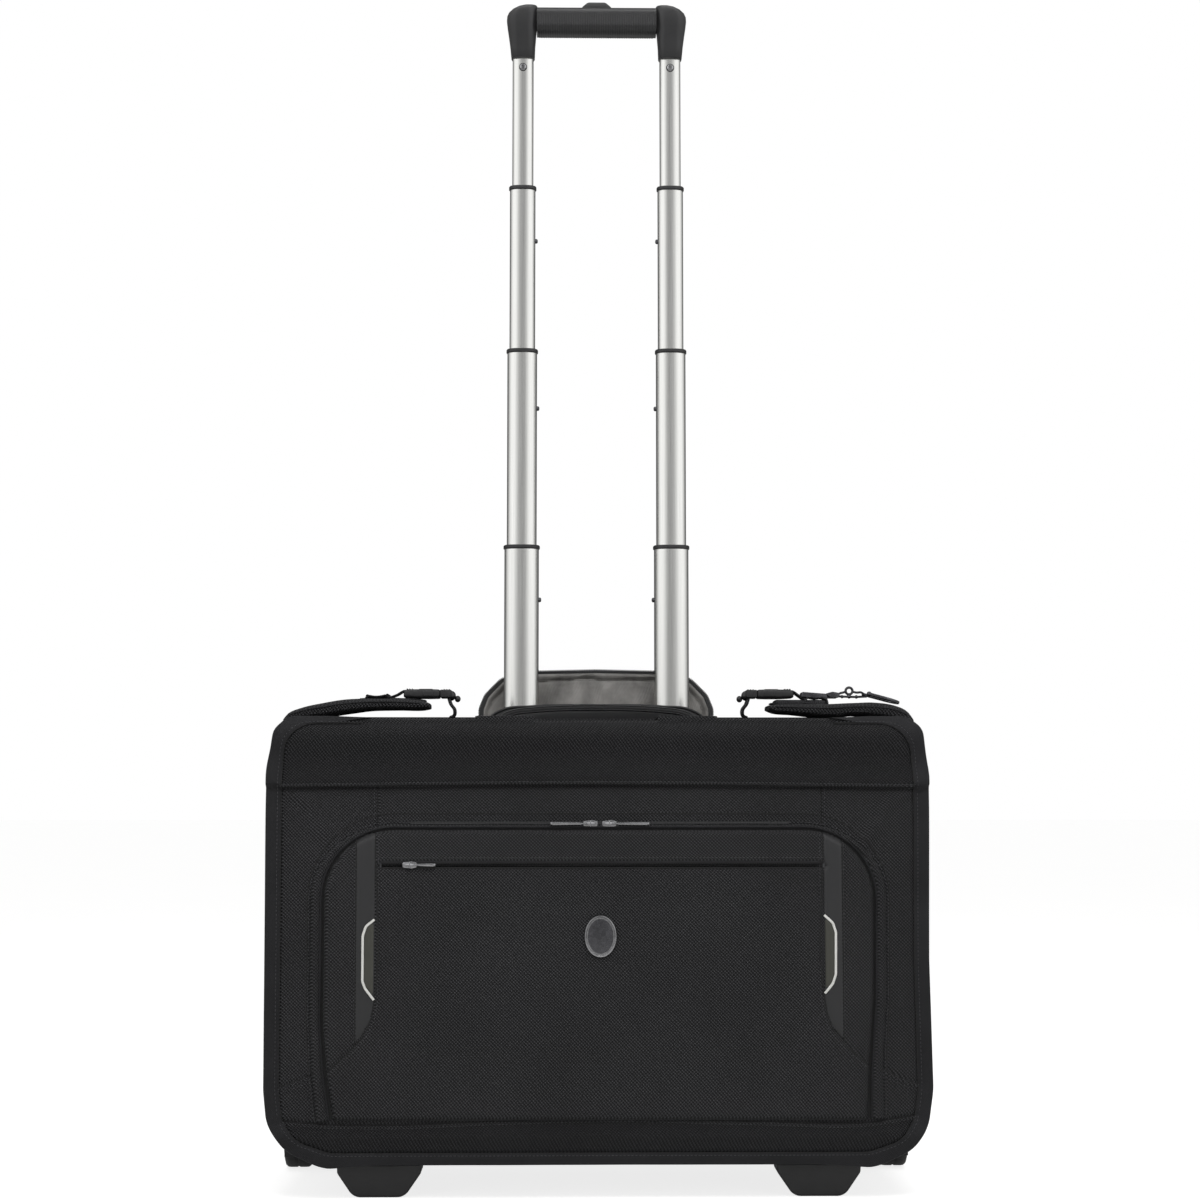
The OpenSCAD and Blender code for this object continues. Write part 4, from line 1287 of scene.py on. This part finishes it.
def make_sleeve_top():
    """The strip over the body to the fold, its piping, and the cuffs by the carry handle."""
    outline = fillet([(-260, -46, 3), (260, -46, 3), (260, 20, 4), (-260, 20, 4)])
    strip = slab(even(outline, 8, True), 402.5, 404.5, 0.9, "xy")
    piece("top_strip", [strip], [TWILL], "sleeve")
    cord = even([(-259.6, 20, 403.5), (259.6, 20, 403.5)], 6)
    piece("fold_piping", [sweep(cord, ellipse(1.5, 1.5, 12))], [TAPE])
    rows = [[(-256, y, 404.6), (256, y, 404.6)] for y in (14, 10)]
    sew("fold_stitches", rows)
    for name, first, last in (("left", -106, -55.6), ("right", 49.4, 100)):
        edge = fillet([(first, -99.5, 1), (last, -99.5, 1), (last, 17, 2), (first, 17, 2)])
        cuff = slab(even(edge, 5, True), 403.9, 405.1, 0.5, "xy")
        lip = slab(fillet([(first, 399.6, 1), (last, 400.4, 1), (last, 405.1, 0.4),
                           (first, 405.1, 0.4)]), -100.6, -98.4, 0.5)
        piece("handle_cuff_" + name, [cuff, lip], [TWILL], "sleeve")
        sew("handle_cuff_stitches_" + name, [[(first + 2, -96, 405.2), (last - 2, -96, 405.2)]])


def make_sleeve_inside():
    """Straps with clasps, and a piping round the edge, on the sleeve's lining."""
    y = SLEEVE_Y + 5.6
    straps = []
    for x in (-95, 95):
        line = even([(x, 60), (x, 375)], 12)
        path = face_on(line, y + 1.4 + 2.2 * np.sin(np.linspace(0, math.pi, len(line))))
        straps.append(sweep(path, soft_box(24, 1.4, 0.6)))
    piece("garment_straps", straps, [WEBBING])
    clasp = [slab(soft_box(34, 26, 4) + (x, 214), y + 3, y + 9, 1.6) for x in (-95, 95)]
    piece("garment_strap_clasps", clasp, [NYLON])
    edge = even(FACE_EDGE, 6, closed=True)
    way = outward(edge)
    hem = face_on(edge - way * 8.5, y + 1.0)
    piece("sleeve_lining_piping", [sweep(hem, ellipse(1.5, 1.5, 10), closed=True)], [TAPE])


# ---- zip sliders and pull tabs --------------------------------------------------------------


def slider_parts(x, y, z):
    """A small double-ended slider with a bridge."""
    base = slab(fillet([(x - 6, z - 2.2, 1.4), (x + 2, z - 3, 1.6), (x + 6, z - 2, 1.2),
                        (x + 6, z + 2, 1.2), (x + 2, z + 3, 1.6), (x - 6, z + 2.2, 1.4)]),
                y - 1.2, y, 0.35)
    bridge = smooth_path([(x - 3.4, z), (x - 2.2, z), (x, z), (x + 2.2, z), (x + 3.4, z)], 0.6)
    rise = y - 1.1 - 1.9 * np.sin(np.linspace(0.15, math.pi - 0.15, len(bridge)))
    post = sweep(face_on(np.array([(x, z - 2.6), (x, z + 2.6)]), y - 2.4), ellipse(0.5, 0.5, 10),
                 up=(0, -1, 0))
    return [base, sweep(face_on(bridge, rise), soft_box(2.4, 0.8, 0.3)), post]


def tab_parts(x, y, z, reach, side):
    """A pull tab: an eye on the post, a neck and a long flat grip with a rolled end."""
    out = lambda d: x + side * d
    eye = np.stack([x + 1.5 * np.cos(np.linspace(0, 2 * math.pi, 14, endpoint=False)),
                    np.full(14, y - 2.4),
                    z + 1.5 * np.sin(np.linspace(0, 2 * math.pi, 14, endpoint=False))], 1)
    neck = smooth_path([(out(1.4), y - 2.5, z), (out(4), y - 2.6, z), (out(8), y - 2.5, z)], 1)
    grip = fillet([(out(7), z - 0.9, 0.3), (out(reach - 1.5), z - 1.35, 0.6),
                   (out(reach), z - 1.2, 0.7), (out(reach), z + 1.2, 0.7),
                   (out(reach - 1.5), z + 1.35, 0.6), (out(7), z + 0.9, 0.3)])
    return [sweep(eye, ellipse(0.45, 0.45, 8), closed=True),
            sweep(neck, ellipse(0.6, 0.6, 10)), slab(grip, y - 3.1, y - 1.9, 0.45),
            ball((out(reach - 1.2), y - 2.5, z), 1.3, 0.9)]


def make_sliders():
    """The three zip sliders and their pull tabs."""
    for name, side, reach in (("arch_slider_left", -1, 34), ("arch_slider_right", 1, 34),
                              ("slash_slider", 1, 22)):
        low, high = cad(name)
        x, z, y = (low[0] + high[0]) / 2, (low[2] + high[2]) / 2, high[1]
        word = name.replace("_slider", "")
        zip_body = {"arch_left": "arch_zip_left", "arch_right": "arch_zip_right",
                    "slash": "slash_zip"}[word]
        piece(name + "_body", slider_parts(x, y, z), [NICKEL], zip_body, [name])
        tab = name.replace("slider", "puller")
        piece(tab + "_tab", tab_parts(x, y, z, reach, side), [NICKEL],
              zip_body.replace("zip", "pull"), [tab])


# ---- the rear body --------------------------------------------------------------------------

BODY_LOW, BODY_HIGH = cad("body_shell")
BODY_BACK = cad("back_board")[1][1]
BODY_EDGE = fillet([(BODY_LOW[0], BODY_LOW[2], 45), (BODY_HIGH[0], BODY_LOW[2], 45),
                    (BODY_HIGH[0], BODY_HIGH[2], 18), (BODY_LOW[0], BODY_HIGH[2], 18)], 14)


def cut_boxes(obj, boxes):
    """Takes boxes, given by two corners in millimetres, out of a closed object."""
    for low, high in boxes:
        work = bmesh.new()
        bmesh.ops.create_cube(work, size=1)
        for corner in work.verts:
            for k in range(3):
                middle, size = (low[k] + high[k]) / 2, high[k] - low[k]
                corner.co[k] = (middle + corner.co[k] * size) * MM
        mesh = bpy.data.meshes.new("cutter")
        work.to_mesh(mesh)
        work.free()
        cutter = bpy.data.objects.new("cutter", mesh)
        bpy.context.collection.objects.link(cutter)
        modifier = obj.modifiers.new("cut", "BOOLEAN")
        modifier.operation, modifier.solver, modifier.object = "DIFFERENCE", "EXACT", cutter
        bpy.context.view_layer.update()
        settle(obj)
        bpy.data.objects.remove(cutter)


def make_body_shell():
    """The rear body: padded gussets and back, open in front, cut out for wheels and well."""
    edge = even(BODY_EDGE, 4, closed=True)
    way = outward(edge)
    points, cells, border, deep = grid_in(edge - way * 5, 4)
    x, z = points.T
    swell = BODY_BACK - 1.4 + 1.2 * np.clip(deep / 40, 0, 1) + 0.5 * ripples(x, z)
    swell -= groove(points, [(-262, 118), (262, 118)], 1.5, 2.6)
    back = face_on(points, swell)
    rim = points[border]
    out = outward(rim)
    front = BODY_LOW[1]
    rings = [(-2.5, BODY_BACK - 2.6), (-4.4, BODY_BACK - 5), (-5, BODY_BACK - 9), (-5.4, 60),
             (-5.2, 15), (-5, front + 10), (-5, front + 1.2), (-4, front), (-1.4, front),
             (-0.6, front + 1.4), (-0.6, BODY_BACK - 8)]
    loops = [face_on(rim - out * inset, y) for inset, y in rings]
    every, faces = skin(back, cells, border, loops)
    cloth = len(cells) + 9 * len(rim)       # the back and nine rings; the rest is lining
    shell = piece("body_shell_cloth", [(every, faces)], [TWILL, LINING], "")
    shell.data.polygons.foreach_set("material_index", [0] * cloth + [1] * (len(faces) - cloth))
    # the well, the two wheel housings and the slots for the carry handle's ends
    cut_boxes(shell, [((-101, 58, 380), (101, 101, 420)), ((247, 44, 0), (300, 130, 81.5)),
                      ((-300, 44, 0), (-247, 130, 81.5)), ((84.4, 24.4, 380), (89.6, 47.6, 420)),
                      ((-89.6, 24.4, 380), (-84.4, 47.6, 420))])
    shell.data.set_sharp_from_angle(angle=math.radians(40))
    set_riding(shell, "frame", ["body_shell", "back_board"])


def make_body_trim():
    """Bindings, piping and stitching of the rear body, and its kick strip."""
    edge = even(BODY_EDGE, 4, closed=True)
    way = outward(edge)
    front = BODY_LOW[1]
    rings = [face_on(edge - way * inset, y) for inset, y in (
        (-0.2, front + 11), (-0.8, front + 10), (-0.9, front + 2), (0, front - 0.8),
        (3, front - 0.9), (5, front + 0.4), (5.2, front + 8), (4.6, front + 8),
        (4.2, front + 1.4), (0.8, front + 0.6), (0.2, front + 2))]
    piece("body_front_binding", [loft(rings, joined=True)], [TAPE], "frame")
    piping = face_on(edge - way * 2.6, BODY_BACK - 3.2)
    keep = ~((np.abs(edge[:, 0]) > 246) & (edge[:, 1] < 83))
    start = int(np.argmax(keep & ~np.roll(keep, 1)))
    order = np.roll(np.arange(len(edge)), -start)
    runs, now = [], []
    for i in order:
        if keep[i]:
            now.append(i)
        elif now:
            runs.append(now)
            now = []
    if now:
        runs.append(now)
    piece("back_piping", [sweep(piping[run], ellipse(2.4, 2.4, 12)) for run in runs], [TAPE],
          "frame")
    sewn = [face_on((edge - way * 8)[run], BODY_BACK + 0.1) for run in runs if len(run) > 3]
    sewn.append(np.array([(-260, BODY_BACK + 0.6, 121.5), (260, BODY_BACK + 0.6, 121.5)]))
    sew("back_stitches", sewn, "frame", "black_nylon")
    strip = fillet([(-243, 36, 6), (243, 36, 6), (243, 62, 5), (120, 62, 8), (108, 54, 8),
                    (-108, 54, 8), (-120, 62, 8), (-243, 62, 5)])
    piece("kick_strip", [slab(strip, BODY_BACK - 3, BODY_BACK + 2.2, 1.4)], [NYLON], "frame")
    runners = [slab(fillet([(x - 6, 62, 3), (x + 6, 62, 3), (x + 4, 200, 4), (x - 4, 200, 4)]),
                    BODY_BACK - 2, BODY_BACK + 2.6, 1.6) for x in (-172, 172)]
    piece("back_runners", runners, [NYLON], "frame")
    seams = [face_on(np.array([(x, 386), (x, 124)]), BODY_BACK + 0.6) for x in (-118, 118)]
    sew("back_panel_stitches", seams, "frame", "black_nylon")


def make_divider():
    """The lining panel inside, with a sewn hem and a pair of packing straps."""
    low, high = cad("divider_panel")
    edge = fillet([(low[0] + 1, low[2] + 1, 40), (high[0] - 1, low[2] + 1, 40),
                   (high[0] - 1, high[2] - 1, 14), (low[0] + 1, high[2] - 1, 14)], 10)
    edge = even(edge, 5, closed=True)
    side = (np.abs(edge[:, 0]) > 247) & (edge[:, 1] < 83)
    edge[side] = np.stack([np.clip(edge[side, 0], -247, 247),
                           np.maximum(edge[side, 1], low[2] + 1)], 1)
    points, cells, border, deep = grid_in(edge, 4)
    x, z = points.T
    front = low[1] + 0.6 + 1.1 * ripples(x, z) * np.clip(deep / 25, 0, 1)
    rim = face_on(points[border], high[1])
    panel = piece("divider_cloth", [skin(face_on(points, front), cells, border, [rim])],
                  [LINING], "frame", ["divider_panel"])
    straps = []
    for sign in (-1, 1):
        line = even([(sign * 190, 372), (0, 214), (-sign * 190, 62)], 8)
        bow = low[1] - 2.2 - sign * 0.9
        straps.append(sweep(face_on(line, bow), soft_box(22, 1.4, 0.6)))
    piece("packing_straps", straps, [WEBBING], "frame")
    clasp = slab(soft_box(38, 30, 5) + (0, 214), low[1] - 9, low[1] - 3.2, 2)
    piece("packing_strap_clasp", [clasp], [NYLON], "frame")


def softened(nodes, finish, width):
    """A copy of moulded nodes with their edges rounded, in place of the nodes."""
    bodies = frame["record"]["behaviour"]["bodies"]
    soft_angle, smooth_angle = math.radians(32), math.radians(38)
    for source in nodes:
        work = bmesh.new()
        work.from_mesh(frame["nodes"][source].data)
        bmesh.ops.remove_doubles(work, verts=work.verts, dist=1e-5)
        bmesh.ops.dissolve_limit(work, angle_limit=math.radians(1), verts=work.verts,
                                 edges=work.edges)
        mesh = bpy.data.meshes.new(source + "_moulding")
        work.to_mesh(mesh)
        work.free()
        mesh.materials.clear()
        mesh.materials.append(finish)
        obj = bpy.data.objects.new(source + "_moulding", mesh)
        bpy.context.collection.objects.link(obj)
        bevel = obj.modifiers.new("edges", "BEVEL")
        bevel.width, bevel.segments, bevel.limit_method = width * MM, 2, "ANGLE"
        bevel.angle_limit = soft_angle
        settle(obj)
        obj.data.polygons.foreach_set("use_smooth", [True] * len(obj.data.polygons))
        obj.data.set_sharp_from_angle(angle=smooth_angle)
        home = next(body for body, held in bodies.items() if source in held)
        set_riding(obj, home, [source])


# ---- the pull handle ------------------------------------------------------------------------

ROW_X = 70.1            # each row of tubes, to the side and back from the middle
ROW_Y = 80.0
STAGES = ("fixed", "stage_4", "stage_3", "stage_2", "stage_1")
TUBE_WALL = 1.2
PIN_REACH = {"stage_4": 18.9, "stage_3": 18.45, "stage_2": 16.3, "stage_1": 14.4}
SCREW_Z = 1029


def body_of(stage):
    """The body a stage's pieces ride on."""
    return {"fixed": "frame", "stage_1": "grip"}.get(stage, stage)


def both(part):
    """A left-hand shape and its mirror image."""
    return [part, mirrored(part)]


def make_tubes():
    """Drawn tubes with rounded corners and a small break on their cut ends."""
    for stage in STAGES:
        low, high = cad(stage + "_tubes")
        size = 2 * (high[0] - ROW_X), high[1] - low[1]
        outline = oval(*size)
        way, rings = outward(outline), []
        for inset, z in ((0.3, low[2]), (0, low[2] + 0.4), (0, low[2] + 2), (0, high[2] - 2),
                         (0, high[2] - 0.4), (0.3, high[2]), (TUBE_WALL - 0.2, high[2]),
                         (TUBE_WALL, high[2] - 0.4), (TUBE_WALL, high[2] - 2),
                         (TUBE_WALL, low[2] + 2), (TUBE_WALL, low[2] + 0.4),
                         (TUBE_WALL - 0.3, low[2])):
            rings.append(level(outline - way * inset + (-ROW_X, ROW_Y), z))
        piece(stage + "_drawn_tubes", both(loft(rings, joined=True)), [SILVER],
              body_of(stage), [stage + "_tubes"])


def make_collars():
    """Moulded collars that guide each stage, with a small drip edge."""
    for outer, inner in zip(STAGES[:-1], STAGES[1:]):
        low, high = cad(outer + "_collars")
        tube = cad(inner + "_tubes")
        size = 2 * (high[0] - ROW_X), high[1] - low[1]
        hole = 2 * (tube[1][0] - ROW_X) + 0.5, tube[1][1] - tube[0][1] + 0.5
        outline, bore = oval(*size), oval(*hole)
        way, rings = outward(outline), []
        for inset, z in ((0.3, low[2]), (0, low[2] + 0.3), (0, high[2] - 0.9),
                         (0.5, high[2] - 0.2), (0.9, high[2])):
            rings.append(level(outline - way * inset + (-ROW_X, ROW_Y), z))
        rings += [level(bore + (-ROW_X, ROW_Y), z) for z in (high[2], low[2])]
        piece(outer + "_moulded_collars", both(loft(rings, joined=True)), [NYLON],
              body_of(outer), [outer + "_collars"],
              hard=True)


def make_glides():
    """Low-friction glides round each stage's lower end."""
    for outer, inner in zip(STAGES[:-1], STAGES[1:]):
        low, high = cad(inner + "_glides")
        guide, tube = cad(outer + "_tubes"), cad(inner + "_tubes")
        wide = [2 * (guide[1][0] - ROW_X - TUBE_WALL) - 0.6,
                guide[1][1] - guide[0][1] - 2 * TUBE_WALL - 0.6]
        bore = [2 * (tube[1][0] - ROW_X) - 2 * TUBE_WALL, tube[1][1] - tube[0][1] - 2 * TUBE_WALL]
        rings = [level(oval(*size) + (-ROW_X, ROW_Y), z) for size, z in (
            (wide, low[2]), (wide, high[2]), (bore, high[2]), (bore, low[2]))]
        piece(inner + "_glide_rings", both(loft(rings, joined=True)), [NYLON], body_of(inner),
              [inner + "_glides"])


def make_lock_pins():
    """Sprung pins with domed heads, which in the case draw in as their stage slides down; here
    each only rides on its stage.
    """
    for stage in STAGES[1:]:
        low, high = cad(stage + "_pins")
        z = (low[2] + high[2]) / 2
        for side, sign in (("left", -1), ("right", 1)):
            back = sign * (ROW_X - 3)
            end = sign * (ROW_X - PIN_REACH[stage])
            step = (end - back) / abs(end - back)
            profile = [(back, 0.3), (back, 2.2), (end - step * 1.2, 2.2), (end - step * 0.5, 1.9),
                       (end - step * 0.1, 1.2), (end, 0.3)]
            pin = piece("lock_pin_" + stage + "_" + side,
                        [lathe(profile, (ROW_Y, z), 20)], [GUNMETAL], body_of(stage),
                        [stage + "_pins"])
            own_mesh(pin)


def make_grip():
    """The rubber grip bar with its ribs, the moulded end caps, the button and the screws."""
    low, high = cad("grip_bar")
    middle = (low[2] + high[2] - 2) / 2
    outline = soft_box(24.6, high[2] - low[2] - 2, 9, 9)
    way = outward(outline)
    ribbed = 1 / (1 + np.exp((outline[:, 1] - 2.5) / 1.2))
    rings = []
    for x in np.arange(-57, 57.01, 0.55):
        rib = 0.5 * (0.5 + 0.5 * math.sin(2 * math.pi * x / 2.2)) * (abs(x) < 54.5)
        rings.append(upright(outline + way * (rib * ribbed - 0.1)[:, None] + (ROW_Y, middle), x))
    piece("grip_sleeve", [loft(rings)], [RUBBER], "grip", ["grip_bar"])
    stations = [(1038.2, -80.9, -59.4, 17, 6), (1039, -81.3, -59, 17.6, 6),
                (1050, -82.4, -58.6, 19, 7), (1060, -83.7, -57.8, 21.5, 8),
                (1068, -84.9, -57.1, 24, 9), (1075, -85.7, -56.5, 25, 9.5),
                (1079, -85.4, -56.2, 25, 9.5), (1082.5, -83.9, -56.1, 24.4, 9.5),
                (1086, -80.4, -56.1, 22.6, 9), (1088.4, -76, -56.3, 20, 8),
                (1089.6, -71.6, -56.9, 16.6, 6), (1090, -67, -58, 12, 4)]
    rings = []
    for z, outer, inner, depth, radius in stations:
        flat = soft_box(inner - outer, depth, min(radius, (inner - outer) / 2.05, depth / 2.05),
                        9) + ((inner + outer) / 2, ROW_Y)
        rings.append(level(flat, z))
    cap = loft(rings)
    piece("grip_end_left", [cap], [RUBBER], "grip", ["grip_cap_left"])
    piece("grip_end_right", [mirrored(cap)], [RUBBER], "grip", ["grip_cap_right"])
    rings = []
    for z, half, depth, radius in ((1084.6, 14, 15.6, 3), (1088.2, 13.8, 15.6, 3),
                                   (1089.6, 12.4, 15, 3), (1091.6, 10.2, 14, 3),
                                   (1092.4, 9.4, 13.2, 3), (1092.6, 8.4, 12, 3)):
        flat = soft_box(2 * half, depth, radius) + (0, ROW_Y)
        rings.append(level(flat, z))
    piece("release_key", [loft(rings)], [RUBBER], "release", ["release_button"])
    face = cad("stage_1_tubes")[0][1]
    turns = np.linspace(0, 2 * math.pi, 28, endpoint=False)
    shapes = ([(0.3, 0.2), (3.2, 0.2), (3.2, -0.9), (2.7, -1.4), (1.9, -1.5), (1.6, -1.35),
               (1.4, -0.5), (0.3, -0.5)],
              [(3.1, 0.1), (3.9, 0.1), (3.9, -0.5), (3.7, -0.8), (3.3, -0.8), (3.1, -0.4)])
    head, washer = (loft([np.stack([-ROW_X + r * np.cos(turns), np.full(28, face + d),
                                    SCREW_Z + r * np.sin(turns)], 1) for r, d in shape],
                         joined=len(shape) == 6) for shape in shapes)
    piece("grip_screw_heads", both(head), [NICKEL], "grip", ["grip_screws"])
    piece("grip_screw_washers", both(washer), [GLOSSY], "grip")


def make_carry_handle():
    """A flat padded carry handle with welts along its front edges."""
    half = [(-87, 385), (-87, 398), (-86.6, 406), (-84, 409.8), (-78, 412.2), (-57, 415.2),
            (-29, 416.8), (0, 417.2)]
    line = smooth_path(half + [(-x, z) for x, z in half[-2::-1]], 2)
    strap = sweep(face_on(line, 36), soft_box(4.6, 21.6, 1.8, 6))
    handle = piece("carry_strap", [strap], [RUBBER], "carry", ["carry_handle"])
    way = beside(line)
    inner = np.abs(line[:, 0]) < 86.5
    welts = [sweep(face_on((line + way * side * 1.9)[inner], 25.8), ellipse(0.75, 0.75, 10))
             for side in (-1, 1)]
    piece("carry_strap_welts", welts, [GLOSSY], "carry")
    sewn = [face_on((line + way * 2.35)[inner], y) for y in (29.4, 42.6)]
    sew("carry_strap_stitches", sewn, "carry", "handle_leather")


FLAP_LEAN = math.radians(10)
FLAP_HINGE = (103, 403.2)       # y and z of the hinge


def on_flap(points, depth):
    """Flat (x, height) points of the cover flap, leaning back from its hinge."""
    points = np.array(points, float)
    x, tall = points.T
    y = FLAP_HINGE[0] + depth * math.cos(FLAP_LEAN) + tall * math.sin(FLAP_LEAN)
    z = FLAP_HINGE[1] - depth * math.sin(FLAP_LEAN) + tall * math.cos(FLAP_LEAN)
    return np.stack([x, y, z], 1)


def flap_wrap(x):
    """How far the flap's ends curve forward round the tubes."""
    return -5.5 * np.clip((np.abs(x) - 72) / 36, 0, 1) ** 2


def make_cover_flap():
    """The cover over the well: lining inside a rolled hem, cloth outside, zip round its edge."""
    edge = fillet([(-107.6, 0.8, 1), (107.6, 0.8, 1), (107.8, 14, 8), (103, 27, 12),
                   (89.5, 42, 12), (74, 50, 14), (0, 51.6, 60), (-74, 50, 14),
                   (-89.5, 42, 12), (-103, 27, 12), (-107.8, 14, 8)], 8)
    points, cells, border, deep = grid_in(edge, 1.6)
    x, tall = points.T
    hem = 6.6 + 0.9 * np.sin(x / 13 + np.sin(x / 29)) + 0.5 * np.sin(x / 5.3)
    roll = -1.9 * np.exp(-((deep - 3.4) / 2.6) ** 2) * (tall > 4)
    crease = 1.5 * np.exp(-((deep - hem - 0.6) / 1.1) ** 2)
    cloth = 0.5 * np.sin(x / 8 + tall / 11) + 0.4 * np.sin(x / 3.7 - tall / 9 + np.sin(x / 17))
    cup = flap_wrap(x)
    inside = -0.9 + roll + crease + cloth * np.clip((deep - 8) / 8, 0, 1) + cup
    outside = 1.3 + 0.4 * np.sin(x / 23) * np.clip(deep / 10, 0, 1) + cup
    n, first = len(border), len(points)
    faces = [tuple(c) for c in cells]
    back = [tuple(first + i for i in reversed(c)) for c in faces]
    rim = [(border[i], border[(i + 1) % n], first + border[(i + 1) % n], first + border[i])
           for i in range(n)]
    sheet = np.concatenate([on_flap(points, inside), on_flap(points, outside)])
    flap = piece("cover_flap_cloth", [(sheet, faces + back + rim)], [FLAP_LINING, TWILL],
                 "cover", ["cover_flap"])
    shades = [0] * len(faces) + [1] * (len(back) + len(rim))
    flap.data.polygons.foreach_set("material_index", shades)
    arc = even(edge, 2, closed=True)
    arc = np.roll(arc, -int(np.argmin(np.hypot(arc[:, 0] - 107.6, arc[:, 1] - 3))), axis=0)
    stop = int(np.argmin(np.hypot(arc[:, 0] + 107.6, arc[:, 1] - 3)))
    arc = arc[:stop + 1]
    wrap = flap_wrap(arc[:, 0])
    way = -beside(arc)
    tape = on_flap(arc - way * 0.1, wrap - 0.4)
    piece("cover_flap_zip_tape", [sweep(tape, soft_box(4.2, 3.4, 0.8))], [COIL], "cover")
    row("cover_flap_zip_teeth", [on_flap(arc + way * 2.1, wrap + 0.4)], TEETH, 1.6,
        (0.95, 2.4, 1.3), "cover", "black_nylon")
    sewn = on_flap(arc - way * 7.4, wrap - 1.0)
    row("cover_flap_hem_stitches", [sewn], PALE_STITCHES, 3.0, (1.9, 0.5, 0.5), "cover",
        "grey_lining")
    hinge = even([(-107.5, *FLAP_HINGE), (107.5, *FLAP_HINGE)], 5)
    piece("cover_flap_hinge", [sweep(hinge, ellipse(1.3, 1.3, 10))], [TAPE], "cover")


def make_well():
    """The moulded well with its arched lip, and the zip tape round its mouth."""
    softened(["handle_well"], NYLON, 0.9)
    lip = smooth_path([(-99.5, 402.6), (-97, 410), (-87, 416.2), (-60, 419.4), (0, 420.4),
                       (60, 419.4), (87, 416.2), (97, 410), (99.5, 402.6)], 2)
    piece("well_lip_bead", [sweep(face_on(lip, 58.6), ellipse(1.3, 1.5, 12))], [NYLON],
          "frame")
    mouth = [(-104, 56, 401.8), (-104, 104, 401.8)], [(104, 56, 401.8), (104, 104, 401.8)]
    piece("well_zip_tape", [sweep(even(m, 6), soft_box(6, 1.2, 0.5), up=(0, 0, 1))
                            for m in mouth], [COIL], "frame")


# ---- wheels and feet ------------------------------------------------------------------------


def make_wheels():
    """Moulded tyres on spoked hubs."""
    axle = (80, 30)
    tyre = lathe([(259.4, 20), (259.3, 26), (260, 28.4), (261.6, 29.7), (264, 30), (269.6, 30),
                  (270.2, 29.4), (271.8, 29.4), (272.4, 30), (278, 30), (280.4, 29.7),
                  (282, 28.4), (282.7, 26), (282.6, 20)], axle, 96)
    disc = lathe([(260.4, 4.2), (260.4, 20.2), (281.4, 20.2), (281.6, 19), (280.8, 18),
                  (275, 17.6), (274.4, 16.8), (274.4, 9.6), (275, 8.8), (280.6, 8.4),
                  (281.4, 7.6), (281.4, 4.2)], axle, 72)
    spokes = []
    for k in range(5):
        turn = 2 * math.pi * k / 5 + 0.3
        flat = fillet([(8, -2.6, 0), (18.2, -1.5, 0), (18.2, 1.5, 0), (8, 2.6, 0)])
        vertices, faces = slab(flat, 273, 280.2, 0.8, "yz")
        y, z = vertices[:, 1].copy(), vertices[:, 2].copy()
        spun = np.stack([vertices[:, 0], axle[0] + y * math.cos(turn) - z * math.sin(turn),
                         axle[1] + y * math.sin(turn) + z * math.cos(turn)], 1)
        spokes.append((spun, faces))
    for side, turn in (("left", mirrored), ("right", lambda part: part)):
        body = side + "_wheel"
        piece("tread_" + side, [turn(tyre)], [TYRE], body, ["tyre_" + side])
        piece("spoked_hub_" + side, [turn(disc)] + [turn(s) for s in spokes], [HUB], body,
              ["hub_" + side])


def make_feet():
    """Moulded front feet with rounded soles."""
    parts = []
    low, high = cad("front_feet")
    for x in (low[0] + 36, high[0] - 36):
        outline = fillet([(x - 35.6, 27.5, 0), (x - 35.4, 20, 5), (x - 21.5, 0, 12),
                          (x + 21.5, 0, 12), (x + 35.4, 20, 5), (x + 35.6, 27.5, 0)])
        parts.append(slab(outline, low[1], high[1], 2.2))
    piece("moulded_feet", parts, [NYLON], "frame", ["front_feet"])


def dress_hidden_parts():
    """Finishes for the CAD parts that keep their own shapes."""
    finishes = {"tube_bracket": SILVER, "axles": STEEL, "bearings_left": STEEL,
                "bearings_right": STEEL, "release_rods": GUNMETAL}
    for name, finish in finishes.items():
        mesh = frame["nodes"][name].data
        if not mesh.materials:
            mesh.materials.append(finish)
        for k in range(len(mesh.materials)):
            frame["nodes"][name].material_slots[k].material = finish


def make_floor():
    """The studio floor."""
    mesh = bpy.data.meshes.new("floor")
    size = 30       # metres, past the edge of every view
    mesh.from_pydata([(-size, -size, 0), (size, -size, 0), (size, size, 0), (-size, size, 0)],
                     [], [(0, 1, 2, 3)])
    mesh.materials.append(studio_floor())
    floor = bpy.data.objects.new("floor", mesh)
    bpy.context.collection.objects.link(floor)


for make in (make_sleeve_shell, make_bindings, make_seams, make_face_stitches, make_pocket,
             make_side_strips, make_pocket_stitches, make_pocket_seam_shade, make_slash_zip,
             make_arch_zip, make_badge, make_wings, make_strap_webbing, make_buckles, make_hook,
             make_sleeve_top, make_sleeve_inside, make_sliders, make_body_shell, make_body_trim,
             make_divider, make_tubes, make_collars, make_glides, make_lock_pins, make_grip,
             make_carry_handle, make_cover_flap, make_well, make_wheels, make_feet):
    make()
for nodes, radius in ((["wheel_housing_left", "wheel_housing_right"], 2.0),
                      (["base_plate"], 0.8), (["handle_anchors"], 0.6)):
    softened(nodes, NYLON, radius)
dress_hidden_parts()
make_floor()
set_light()
bpy.context.scene.view_settings.view_transform = "Standard"
